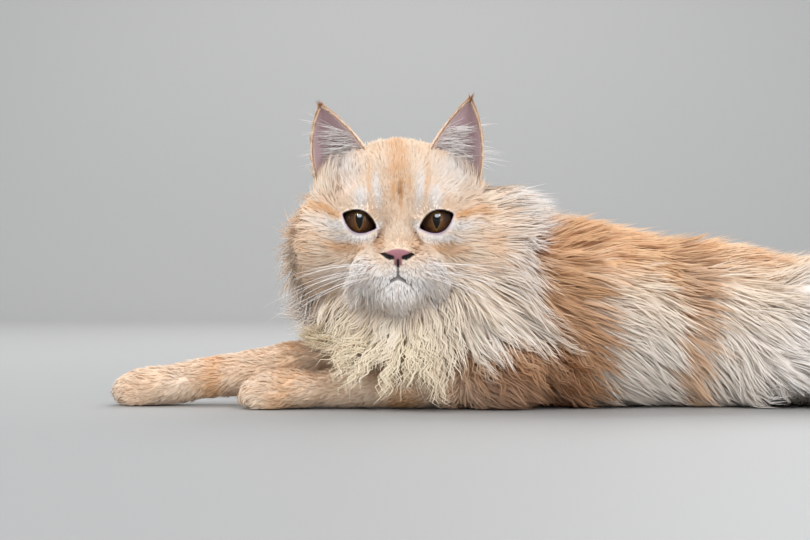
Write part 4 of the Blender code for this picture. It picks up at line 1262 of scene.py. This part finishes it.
def cornea_material():
    """Clear as water but for the lights mirrored in it, and a painted glint that mirrors far more."""
    paint = Paint("cornea")
    x, _, z = paint.attribute("eye")
    # Painted highlight: a spot near the top mirrors far more than the rest.
    off_x, off_z = x - GLINT_PLACE[0], (z - GLINT_PLACE[1]) * GLINT_FLATTER
    glint = 1 - (off_x * off_x + off_z * off_z).root().step(GLINT_SIZE * 0.45, GLINT_SIZE)
    clear = paint.node("ShaderNodeBsdfTransparent")
    mirror = paint.node("ShaderNodeBsdfGlossy", None, {"Roughness": 0.02})
    material = paint.both(glint * GLINT_STRENGTH + MIRRORED, clear, mirror)
    paint.tree.nodes.remove(paint.shader)
    return material


IRIS, CORNEA = iris_material(), cornea_material()
print("materials:", IRIS.name, CORNEA.name)

# %% [markdown]
# Each line below runs from the front of its shape to the back. The ball's begins with the iris, a
# shallow cone set back in it, and goes on round the ball. The cornea's runs out over its dome and back
# under it, so that it is a thin closed shell.

# %% Both eyes
CORNEA_ROUND = 0.9
leans = np.radians(np.linspace(math.degrees(math.asin(IRIS_RADIUS / EYE_RADIUS)), 180, 16))
edge_depth = -EYE_RADIUS * math.cos(leans[0])


def cornea_depth(t):
    """How deep the cornea's dome lies, from 0 at its middle to 1 at its edge."""
    fallen = (1 - math.sqrt(1 - CORNEA_ROUND * t * t)) / (1 - math.sqrt(1 - CORNEA_ROUND))
    return -CORNEA_BULGE + (CORNEA_BULGE + edge_depth) * fallen


ball_line = [(EYE_RADIUS * math.sin(a), -EYE_RADIUS * math.cos(a)) for a in leans]
disc_line = [(r, -IRIS_DEPTH + 0.012 * r * r) for r in np.linspace(0, IRIS_RADIUS - 0.4, 9)]
bulge = [(t * IRIS_RADIUS, cornea_depth(t)) for t in np.linspace(0, 1, 14)]
inner = [(r * 0.985, y + 0.12) for r, y in bulge[::-1]]
for name, side in (("left", 1), ("right", -1)):
    globe = turned(f"eyeball_{name}", disc_line + ball_line, side, IRIS, "eye")
    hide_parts(f"eye_{name}")
    turned(f"cornea_{name}", bulge + inner, side, CORNEA, "eye")
print("eyes", 2 * EYE_RADIUS, "mm across,", EYE_APART, "mm apart")

# %% [markdown]
# The coat is made in tufts. A few thousand guide hairs are grown first: each starts on the skin, walks
# over the body along the lie of the coat, and is held at the coat's height. Tufts near a guide follow
# it and gather towards its tip, which is how long hair parts into locks. Only the guides are walked,
# so a dense coat takes seconds.

# %% Where hairs grow
corners = skin_points[skin_squares]
TRIANGLES = np.concatenate([corners[:, [0, 1, 2]], corners[:, [0, 2, 3]]])


def scattered(count, weight, rng):
    """Random places on the skin, as many per area as weight says for each triangle."""
    a, b, c = TRIANGLES.transpose(1, 0, 2)
    chance = np.linalg.norm(np.cross(b - a, c - a), axis=1) * weight
    chosen = rng.choice(len(TRIANGLES), size=count, p=chance / chance.sum())
    u, v = np.sqrt(rng.random(count)), rng.random(count)
    a, b, c = TRIANGLES[chosen].transpose(1, 0, 2)
    return a * (1 - u)[:, None] + b * (u * (1 - v))[:, None] + c * (u * v)[:, None]


def grows(p):
    """Where hair can grow: off the floor, and not on nose leather, lids, lips or in the sockets."""
    free = p[:, 2] > 1.5
    head = (p[:, 1] < 40) & (np.abs(p[:, 0]) < 44) & (p[:, 2] > 66)
    q = p[head]
    lids = lid_edge(q) < np.where(above_eye(q) > 0, 0.8, 1.4)
    bare = (q[:, 1] < 14) & ((leather(q) > 0.3) | lids | (crease(q) < 0.4))
    free[head] &= ~(bare | (np.abs(flesh(q)) > CARVED))
    return free


def in_the_way(line):
    """Which tufts would cross an eye, the nose leather, or the grooves of nose and mouth."""
    q = line[:, 1:].reshape(-1, 3)
    face = np.flatnonzero((q[:, 1] < 12) & (np.abs(q[:, 0]) < 38) & (q[:, 2] > 70))
    hit = np.zeros(len(q), bool)
    f = q[face]
    hit[face] = (lid_edge(f) < 0.3) | (leather(f) > 0.5) | (crease(f) < 0.3)
    return hit.reshape(len(line), -1).any(1)


print("triangles of skin to grow hair on:", len(TRIANGLES))

# %% [markdown]
# A guide is walked step by step: at each it turns towards the lie of the coat, with soft bends that
# neighbours share, and is then set to its height above the flesh. That height grows fast near the root
# and slowly later, as a hair rises out of the skin and then lies down.

# %% Walking the guides
HEIGHT_RISE = 0.62
FLOOR_CLEAR = 0.8
BENDS, STRAY_BENDS = [(26, (11, 12, 13), 0.14), (80, (14, 15, 16), 0.16)], 0.08


def walk(roots, share, depth, length, stand, sections, rng):
    """Lines over the skin from roots, and the way out of the body at each of their points."""
    out = slope_of(flesh, roots)
    line, outs = [roots - out * 0.8], [out]
    p = roots
    bend = np.zeros_like(roots)
    for size, seeds, strength in BENDS:
        bend += np.stack([waves(roots, size, seed) for seed in seeds], 1) * strength
    bend += rng.normal(0, STRAY_BENDS, bend.shape)
    for k in range(1, sections):
        t = k / (sections - 1)
        way = unit(lie(p, share) + bend * (0.4 + t))
        flat = unit(way - out * (way * out).sum(1, keepdims=True) * 0.95)
        way = unit(flat + (way - flat) * stand[:, None])
        p = p + way * (length / (sections - 1))[:, None]
        for _ in range(2):
            out = slope_of(flesh, p, 1.0)
            lift = depth * t**HEIGHT_RISE - flesh(p)
            p = p + out * (lift * np.where(lift > 0, 0.9, 0.9 - 0.9 * stand))[:, None]
        p[:, 2] = np.maximum(p[:, 2], FLOOR_CLEAR + 1.5 * (1 - t))
        line.append(p)
        outs.append(unit(out))
    return np.stack(line, 1), np.stack(outs, 1)


print("guides bend in waves of", [size for size, _, _ in BENDS], "mm")

# %% [markdown]
# A tuft takes its guide's line to its own root and gathers in towards the guide's tip. On bib and
# shoulder the line also winds round its own course, which makes the wavy locks. A little chance in
# every line keeps the fur from looking combed by a machine.

# %% Tufts along the guides
CURL_RUN, CURL_FLATTER = 14.0, 0.45


def tufts(roots, guides, lines, outs, gather, curl, frizz, rng):
    """A line for each tuft: its guide's, moved to its own root, and gathering in towards the tip."""
    tree = KDTree(len(guides))
    for k, place in enumerate(guides):
        tree.insert(place, k)
    tree.balance()
    owner = np.array([tree.find(root)[1] for root in roots])
    sections = lines.shape[1]
    t = np.linspace(0, 1, sections)[None, :, None]
    offset = (roots - guides[owner])[:, None]
    line = lines[owner] + offset * (1 - gather * t**1.3)
    out = outs[owner]
    heading = unit(np.gradient(line, axis=1))
    across = unit(np.cross(heading, out))
    run = np.linalg.norm(np.diff(lines, axis=1), axis=2).sum(1)[owner]
    phase = (rng.uniform(0, 2 * np.pi, len(guides))[owner] + rng.normal(0, 0.35, len(roots)))[:, None, None]
    turn = 2 * np.pi * t * (run / CURL_RUN)[:, None, None] + phase
    swing = curl[:, None, None] * np.minimum(1, 2.5 * t)
    line = line + across * np.sin(turn) * swing + out * np.cos(turn) * swing * CURL_FLATTER
    stray = rng.normal(0, 1, (len(roots), 1, 3)) * frizz[:, None, None] * t**1.5
    line = line + stray + rng.normal(0, 0.12, line.shape) * frizz[:, None, None] * t
    line[..., 2] = np.maximum(line[..., 2], FLOOR_CLEAR)
    return line, out, owner


print("curls turn once in", CURL_RUN, "mm")

# %% [markdown]
# Each tuft's mesh is a thin closed blade along its line: three sides, wide in the middle, pointed at the
# tip. Real fur reflects light as one soft body, so a blade's shading leans towards the body's own shape
# instead of showing its flat sides. Curves with a width would be shorter to write, but they aren't mesh.

# %% Blades
TAPER = {3: (0.8, 1.0, 0), 4: (0.7, 1.0, 0.75, 0), 5: (0.6, 1.0, 0.95, 0.65, 0)}
BLADE_THICK, EDGE_SPREAD = 0.7, 0.26
SOFTEST, BODY_SHADED = 0.25, 0.4


def blades(line, out, half):
    """Three-sided tapering blades along lines: their points, squares and triangles."""
    count, sections = line.shape[:2]
    t = np.linspace(0, 1, sections)
    long_taper = np.minimum(0.6 + 1.6 * t, 1.25 * (1 - t) ** 0.6)
    taper = np.array(TAPER.get(sections, long_taper))[:-1]
    heading = unit(np.gradient(line, axis=1))[:, :-1]
    across = np.empty_like(heading)
    across[:, 0] = unit(np.cross(heading[:, 0], out[:, 0]))
    for k in range(1, sections - 1):
        before = across[:, k - 1]
        across[:, k] = unit(before - heading[:, k] * (before * heading[:, k]).sum(1, keepdims=True))
    above = np.cross(across, heading)
    wide = (half[:, None] * taper)[..., None]
    body = line[:, :-1]
    ring = np.stack([body + across * wide, body + above * wide * BLADE_THICK, body - across * wide], 2)
    points = np.concatenate([ring.reshape(count, -1, 3), line[:, -1:]], 1)
    per, rows = 3 * (sections - 1) + 1, sections - 1
    flat = out[:, :-1] - heading * (out[:, :-1] * heading).sum(2, keepdims=True)
    facing = np.clip((flat * above).sum(2, keepdims=True), SOFTEST, 1)
    up = (above * facing * (1 - BODY_SHADED) + flat * BODY_SHADED * (facing > SOFTEST))[:, :, None]
    spread = np.stack([across, above, -across], 2) * EDGE_SPREAD
    tip = above[:, -1:]
    upper = np.concatenate([unit(spread + up).reshape(count, -1, 3), tip], 1)
    under = np.concatenate([unit(spread - up).reshape(count, -1, 3), -tip], 1)
    base = (np.arange(count) * per)[:, None]
    polygons, normals = [], []
    for i in range(rows - 1):
        for j in range(3):
            k = (j + 1) % 3
            polygons.append([3 * i + 3 + j, 3 * i + 3 + k, 3 * i + k, 3 * i + j])
    polygons += [[per - 1, 3 * (rows - 1) + (j + 1) % 3, 3 * (rows - 1) + j] for j in range(3)]
    for number, polygon in enumerate(polygons):
        normals.append((under if number % 3 == 2 else upper)[:, polygon].reshape(-1, 3))
    polygons.append([0, 1, 2])
    normals.append(upper[:, [0, 1, 2]].reshape(-1, 3))
    squares = np.concatenate([base + np.array(polygon) for polygon in polygons if len(polygon) == 4])
    triangles = np.concatenate([base + np.array(polygon) for polygon in polygons if len(polygon) == 3])
    return points.reshape(-1, 3), squares, triangles, np.concatenate(normals)


print("a blade is", BLADE_THICK / 2, "times as thick as wide")

# %% [markdown]
# Each coat piece keeps a flat map of the skin, in which every tuft is a speck at its root's place. The
# map is an unwrap of the body itself: round an axis and along it. A map of each blade would be more
# exact, but a hundred thousand of them would leave no room for any.

# %% The flat map of a coat piece
SPECK = 0.003


def unwrapped(roots, axis_point, axis):
    """Places from 0 to 1 for roots: round an axis, and along the skin by their distance along it."""
    axis = unit(np.array(axis, float))
    side = unit(np.cross(axis, (0.3, 0.2, 1.0)))
    up = np.cross(axis, side)
    q = roots - np.array(axis_point, float)
    along = q @ axis
    round_it = np.arctan2(q @ side, q @ up) / (2 * np.pi) + 0.5
    low, high = along.min(), along.max()
    return np.stack([0.01 + 0.97 * round_it, 0.01 + 0.97 * (along - low) / max(high - low, 1)], 1)


def add_tufts(name, slot, line, out, half, marks, tone, places):
    """One piece of the coat: tufts along lines, with marks and tone for each, at places on its map."""
    points, squares, triangles, normals = blades(line, out, half)
    per = len(points) // len(line)
    orange, brown, white, yellow = [np.repeat(mark, per) for mark in marks]
    t = np.minimum(np.arange(per) // 3 / (line.shape[1] - 1), 1)
    along = np.tile(t, len(line))
    tones = np.repeat(np.clip(tone, 0, 1), per)
    numbers = {"marks": (orange, brown, white), "look": (yellow, along, tones)}
    speck = np.stack([np.arange(per) % 3 / 2, t], 1) * SPECK
    uv = (places[:, None] + speck[None]).reshape(-1, 2)
    piece = add_piece(name, points, [squares, triangles], COAT, slot, numbers, uv, normals)
    print(name, len(line), "tufts,", 2 * len(squares) + len(triangles), "triangles")
    return piece


print("a speck is", SPECK, "of its map")

# %% [markdown]
# One piece of the coat is made in the order told above: guides are picked from its roots and walked,
# tufts are laid along them, and each gets its marks and a tone, which neighbours share in part. Tufts
# that would cross an eye or the nose are left out.

# %% One piece of the coat
def add_coat(name, slot, roots, share, guides_at, sections, half, gather, axis_point, axis, seed):
    """One piece of the coat, grown from its tufts' roots."""
    rng = np.random.default_rng(seed)
    picked = rng.permutation(len(roots))[: max(int(len(roots) / guides_at), 8)]
    guides, own = roots[picked], share[picked]
    depth, length, _, stand, _ = style(guides, own)
    depth = depth * (1 + 0.08 * waves(guides, 34, 21)) * rng.uniform(0.9, 1.05, len(guides))
    length = length * rng.uniform(0.8, 1.15, len(guides))
    lines, outs = walk(guides, own, depth, length, stand, sections, rng)
    _, tuft_length, curl, _, _ = style(roots, share)
    line, out, owner = tufts(roots, guides, lines, outs, gather, curl, 0.05 * tuft_length, rng)
    reach = rng.uniform(0.75, 1.12, len(roots))[:, None, None]
    line = line[:, :1] + (line - line[:, :1]) * reach
    line[..., 2] = np.maximum(line[..., 2], FLOOR_CLEAR)
    width = half * rng.uniform(0.7, 1.3, len(roots))
    tone = rng.normal(0.5, 0.16, len(guides))[owner] + rng.normal(0, 0.16, len(roots))
    marks = np.stack(markings(roots, share), 1)
    places = unwrapped(roots, axis_point, axis)
    kept = ~in_the_way(line)
    return add_tufts(name, slot, line[kept], out[kept], width[kept], marks[kept].T, tone[kept], places[kept])


print(add_coat.__name__, "is ready")

# %% [markdown]
# Roots are scattered over the whole skin at once, closer together on the face, and then dealt out to
# the pieces of the coat by the part of the body they are on. Short fur needs few sections and follows
# many guides; the wavy locks of bib and shoulder need more sections, and gather far in to their guides.

# %% The coat
TUFTS = 99000
FACE_DENSER, HEAD_DENSER, NECK_DENSER, LEG_DENSER, FAR_SIDE_THINNER = 4.6, 0.9, 0.6, 0.9, 0.25
SHORT_HAIR, CURLY_FROM, RUFF_MIDDLE = 11, 0.4, 6
HEAD_AXIS, BODY_AXIS = ((0, 40, 112), (0, 1, 0.05)), ((110, 62, 45), SPINE_WAY)
BIB_AXIS, TAIL_AXIS = ((4, 60, 60), (0, 0, 1)), ((350, 40, 20), (0, 0, 1))
LEFT_LEG_AXIS, RIGHT_LEG_AXIS = ((0, 28, 15), (1, 0, 0)), ((0, 68, 15), (1, 0, 0))
HEAD, NECK, LEFT_LEG, RIGHT_LEG = [NAMES.index(n) for n in ("head", "neck", "foreleg_left", "foreleg_right")]

rng = np.random.default_rng(5)
middles = TRIANGLES.mean(1)
share = shares(middles)
face_front = share[:, HEAD] * smooth((44 - middles[:, 1]) / 14) * (middles[:, 2] > 60)
density = 1 + FACE_DENSER * face_front + HEAD_DENSER * share[:, HEAD] + NECK_DENSER * share[:, NECK]
density -= FAR_SIDE_THINNER * (sideways(middles) > 0)
density += LEG_DENSER * (share[:, LEFT_LEG] + share[:, RIGHT_LEG])
roots = scattered(TUFTS, density, rng)
roots = roots[grows(roots)]
share = shares(roots)
_, length, _, _, curly = style(roots, share)
part = share.argmax(1)
kinds = np.array([name.split("_")[0] for name in NAMES])[part]
on_head, on_neck, on_torso = [kinds == kind for kind in ("head", "neck", "torso")]
near_side, left, ruff_left = sideways(roots) < 0, roots[:, 0] >= 0, roots[:, 0] >= RUFF_MIDDLE
short, locks = length < SHORT_HAIR, curly >= CURLY_FROM
# Each row: name, slot, its roots, sections, half width, tufts to a guide, how far they gather, map's axis.
PIECES = [
    ("coat_face", "fur_head", on_head & short & ~left, 3, 0.33, 5, 0.25, HEAD_AXIS),
    ("coat_face_left", "fur_head", on_head & short & left, 3, 0.33, 5, 0.25, HEAD_AXIS),
    ("coat_cheek_left", "fur_head", on_head & ~short & left, 4, 0.36, 6, 0.3, HEAD_AXIS),
    ("coat_cheek_right", "fur_head", on_head & ~short & ~left, 4, 0.36, 6, 0.3, HEAD_AXIS),
    ("coat_ruff_left", "fur_neck", on_neck & ~locks & ruff_left, 4, 0.42, 7, 0.25, HEAD_AXIS),
    ("coat_ruff_right", "fur_neck", on_neck & ~locks & ~ruff_left, 4, 0.42, 7, 0.25, HEAD_AXIS),
    ("coat_bib", "fur_neck", on_neck & locks, 9, 0.52, 14, 0.68, BIB_AXIS),
    ("coat_shoulder", "fur_body", on_torso & locks, 9, 0.5, 12, 0.62, BODY_AXIS),
    ("coat_flank_left", "fur_body", on_torso & ~locks & near_side, 4, 0.5, 7, 0.25, BODY_AXIS),
    ("coat_flank_right", "fur_body", on_torso & ~locks & ~near_side, 4, 0.56, 7, 0.25, BODY_AXIS),
    ("coat_hindlegs", "fur_hindleg", kinds == "hindleg", 4, 0.46, 7, 0.25, BODY_AXIS),
    ("coat_foreleg_left", "fur_foreleg", part == LEFT_LEG, 3, 0.4, 4, 0.2, LEFT_LEG_AXIS),
    ("coat_foreleg_right", "fur_foreleg", part == RIGHT_LEG, 3, 0.4, 4, 0.2, RIGHT_LEG_AXIS),
    ("coat_tail", "fur_tail", kinds == "tail", 4, 0.6, 8, 0.5, TAIL_AXIS),
]
for seed, (name, slot, own, sections, half, guides_at, gather, axis) in enumerate(PIECES):
    add_coat(name, slot, roots[own], share[own], guides_at, sections, half, gather, *axis, seed)

# %% [markdown]
# The ears have coats of their own: short fur on the back, fine hairs out from the rim, a dark wisp at
# each tip, and long white hairs that cross the hollow from its inner edge. They are placed by the same
# two numbers that bend the sheet, up it and across it.

# %% Ear hairs
EAR_COUNTS = {"back": 1700, "rim": 900, "fill": 230, "plume": 34, "wisp": 30}
EAR_SECTIONS, LONG_SAG = 4, 0.12
EAR_MARKS = {
    "back": (0.5, 0.05, 0.1),
    "rim": (0.35, 0.1, 0.3),
    "fill": (0.0, 0.0, 1.0),
    "plume": (0.0, 0.0, 1.0),
    "wisp": (0.5, 0.85, 0.0),
}


def ear_frame(side, up, across):
    """On an ear's sheet: the point, the ways to tip and outer rim, and the way out of its back."""
    step = 0.01
    point = ear_point(side, up, across)
    rise = unit(ear_point(side, up + step, across) - ear_point(side, up - step, across))
    over = unit(ear_point(side, up, across + step) - ear_point(side, up, across - step))
    back = unit(np.cross(rise, over)) * -side
    return point, rise, over, back * np.where(back[:, 1:2] < 0, -1, 1)


def ear_hairs(side, rng):
    """Lines, outward ways, widths and marks of all the hairs of one ear."""
    made = []
    for kind, count in EAR_COUNTS.items():
        up, across = rng.uniform(-0.1, 0.94, count), rng.uniform(0, 1, count)
        if kind == "rim":
            across = np.round(across) * 0.98 + 0.01
        if kind == "fill":
            up = 0.62 * rng.random(count) ** 1.7 - 0.16
            across = 0.02 + 0.26 * rng.random(count) ** 1.5
        if kind == "plume":
            up, across = rng.uniform(0.0, 0.16, count), rng.uniform(0.06, 0.3, count)
        if kind == "wisp":
            up, across = rng.uniform(0.93, 0.99, count), rng.uniform(0.3, 0.7, count)
        point, rise, over, back = ear_frame(side, up, across)
        outer = np.sign(across - 0.5)[:, None]
        shade = rng.normal(0, 1, (count, 3))
        if kind == "back":
            way, length, lift = rise + over * outer * 0.05 + shade * 0.12, 5.0, back
        elif kind == "rim":
            way, length, lift = rise * 0.9 + over * outer * 0.9 + shade * 0.15, 4.0, -back
        elif kind == "fill":
            lean = rng.uniform(-0.05, 1.1, count)[:, None] + 0.8 * up[:, None]
            way, length, lift = over + rise * lean - back * 0.5 + shade * 0.2, 30.0, -back
        elif kind == "plume":
            lean = rng.uniform(0.45, 0.8, count)[:, None]
            way, length, lift = over + rise * lean - back * 0.6 + shade * 0.05, 40.0, -back
        else:
            way, length, lift = rise + over * 0.1 + shade * 0.12, 7.0, -back
        length = length * rng.uniform(0.35, 1.15, count)
        t = np.linspace(0, 1, EAR_SECTIONS)[None, :, None]
        run = length[:, None, None] * t
        sag = np.array([0, 0, -1.0]) * (LONG_SAG if kind in ("fill", "plume") else 0.0) * run * t
        line = (point + lift * 0.5)[:, None] + unit(way)[:, None] * run + lift[:, None] * 0.9 * t + sag
        half = np.full(count, 0.3 if kind in ("back", "rim") else 0.18)
        marks = np.tile(EAR_MARKS[kind], (count, 1))
        facing = np.repeat(unit(lift + (0, 0, 0.8))[:, None], EAR_SECTIONS, 1)
        made.append((line, facing, half, marks, np.stack([up, across], 1)))
    return [np.concatenate(parts) for parts in zip(*made)]


for seed, (name, side) in enumerate((("left", 1), ("right", -1))):
    rng = np.random.default_rng(40 + seed)
    line, out, half, marks, spot = ear_hairs(side, rng)
    tone = rng.normal(0.5, 0.2, len(line))
    places = 0.01 + 0.97 * (spot + (0.2, 0)) / (1.25, 1.0)
    add_tufts(f"coat_ear_{name}", "ear", line, out, half, (*marks.T, 0 * tone), tone, places)

# %% [markdown]
# Whiskers and brow hairs are the stiffest hairs of all: long, thin, white, springing from the pads and
# drooping in one even curve. Each is a single blade of the coat's own kind, straight from its root.

# %% Whiskers
WHISKER_ROOTS = [(13, 90.5), (17, 91), (21, 90), (14, 87), (18, 87.5), (22, 86.5), (26, 87)]
WHISKER_ROOTS += [(16, 84), (20, 83.5), (24, 83)]
BROW_ROOTS, BROW_HEIGHT = (17, 19.5, 22, 24.5), 129.5
WHISKER_SECTIONS, WHISKER_HALF = 9, 0.15


def stiff_hair(root, way, length, droop):
    """One line that starts straight and droops more and more."""
    t = np.linspace(0, 1, WHISKER_SECTIONS)[:, None]
    bent = np.array([0, 0.25, -1.0]) * droop * length * t * t
    return root + unit(np.array(way, float)) * length * t + bent


rng = np.random.default_rng(77)
stiff = []
for side in (-1, 1):
    for k, (x, z) in enumerate(WHISKER_ROOTS):
        way = (side * 1.0, -0.42 + 0.1 * (k % 3), (z - 88) * 0.045 + rng.normal(0, 0.05))
        stiff.append(stiff_hair(on_face(side * x, z), way, rng.uniform(46, 72), rng.uniform(0.2, 0.38)))
    for x in BROW_ROOTS:
        way = (side * (0.25 + (x - BROW_ROOTS[0]) * 0.09), -0.35, 1.0)
        stiff.append(stiff_hair(on_face(side * x, BROW_HEIGHT), way, rng.uniform(22, 32), 0.12))
stiff = np.stack(stiff)
facing = np.tile([0.0, -0.8, 0.6], (len(stiff), WHISKER_SECTIONS, 1))
ones = np.ones(len(stiff))
white_only = np.outer((0, 0, 1, 0), ones)
places = unwrapped(stiff[:, 0], *HEAD_AXIS)
add_tufts("whiskers", "fur_head", stiff, facing, ones * WHISKER_HALF, white_only, ones, places)

# %% [markdown]
# The stage is a plain pale floor that curves up into a wall, faintly mottled, so that the eye stays on
# the cat. It isn't part of the model.

# %% Floor and wall
FLOOR_COLOUR, FLOOR_MOTTLE = (0.36, 0.355, 0.345, 1), (0.32, 0.315, 0.31, 1)


def make_floor():
    """A floor that rises in a long curve behind the cat."""
    far, wide, high, bend = 2200.0, 6000.0, 2600.0, 900.0
    arc = np.radians(np.linspace(0, 90, 16))
    curve = [(far + bend * math.sin(a), bend - bend * math.cos(a)) for a in arc]
    profile = [(-4000.0, 0.0), *curve, (far + bend, high)]
    points = np.array([(x, y, z) for y, z in profile for x in (-wide, wide)])
    squares = np.array([(2 * i, 2 * i + 1, 2 * i + 3, 2 * i + 2) for i in range(len(profile) - 1)])
    paint = Paint("floor")
    places = paint.node("ShaderNodeTexCoord", None, None, "Object")
    mottle = paint.node("ShaderNodeTexNoise", None, {"Vector": places, "Scale": 3.0, "Detail": 4.0}, "Fac")
    colour = paint.mix(mottle * 0.15, FLOOR_COLOUR, FLOOR_MOTTLE)
    material = paint.finish(Base_Color=colour, Roughness=0.55)
    mesh = bpy.data.meshes.new("floor")
    mesh.from_pydata([tuple(p) for p in placed(points)], [], squares.tolist())
    mesh.shade_smooth()
    mesh.materials.append(material)
    floor = bpy.data.objects.new("floor", mesh)
    bpy.context.scene.collection.objects.link(floor)
    floor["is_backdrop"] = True
    return floor


print("stage:", make_floor().name)

# %% [markdown]
# The photo's light comes from broad windows: soft, from the front and above, with hardly a shadow. Two
# large lamps do the same from both sides, and weaker ones open the flank, the far side and the back, so
# that the coat's edge stands out from the wall. Fur needs such light, for small lamps make it glitter.

# %% Lights
def add_lamp(name, place, aim, size, power, colour):
    """A square soft lamp at a place in millimetres, turned to another."""
    light = bpy.data.lights.new(name, "AREA")
    light.size, light.energy, light.color = size, power, colour
    lamp = bpy.data.objects.new(name, light)
    lamp.location = placed(place)
    way = placed(aim) - placed(place)
    lamp.rotation_euler = Vector(way).to_track_quat("-Z", "Y").to_euler()
    bpy.context.scene.collection.objects.link(lamp)


LAMPS = [
    ("key", (-900, -2000, 2300), (60, 40, 60), 0.7, 23, (1.0, 0.99, 0.98)),
    ("fill", (1100, -2000, 2200), (100, 40, 60), 0.7, 24, (0.98, 0.99, 1.0)),
    ("flank", (950, -1700, 650), (260, 40, 45), 1.0, 8, (1.0, 0.98, 0.97)),
    ("side", (-1700, 300, 700), (0, 60, 90), 1.2, 16, (0.96, 0.99, 1.0)),
    ("rim", (700, 1300, 1200), (100, 60, 80), 1.0, 12, (0.97, 0.99, 1.0)),
    ("wall", (0, 1300, 2200), (0, 3000, 700), 1.6, 34, (1.0, 1.0, 1.0)),
]
SKY_COLOUR, SKY_STRENGTH = (0.86, 0.90, 0.96, 1), 0.82
for lamp in LAMPS:
    add_lamp(*lamp)
world = bpy.data.worlds.new("studio")
world.use_nodes = True
sky = world.node_tree.nodes["Background"]
sky.inputs["Color"].default_value = SKY_COLOUR
sky.inputs["Strength"].default_value = SKY_STRENGTH
bpy.context.scene.world = world
bpy.context.scene.view_settings.view_transform = "Standard"
print("lamps:", len(LAMPS))

# %% [markdown]
# Last, the size of the dressed model is set down beside that of the solids.

# %% Finish
boxes = {"cad": cad_box, "visual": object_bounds()}
{key: [list(corner) for corner in box] for key, box in boxes.items()}
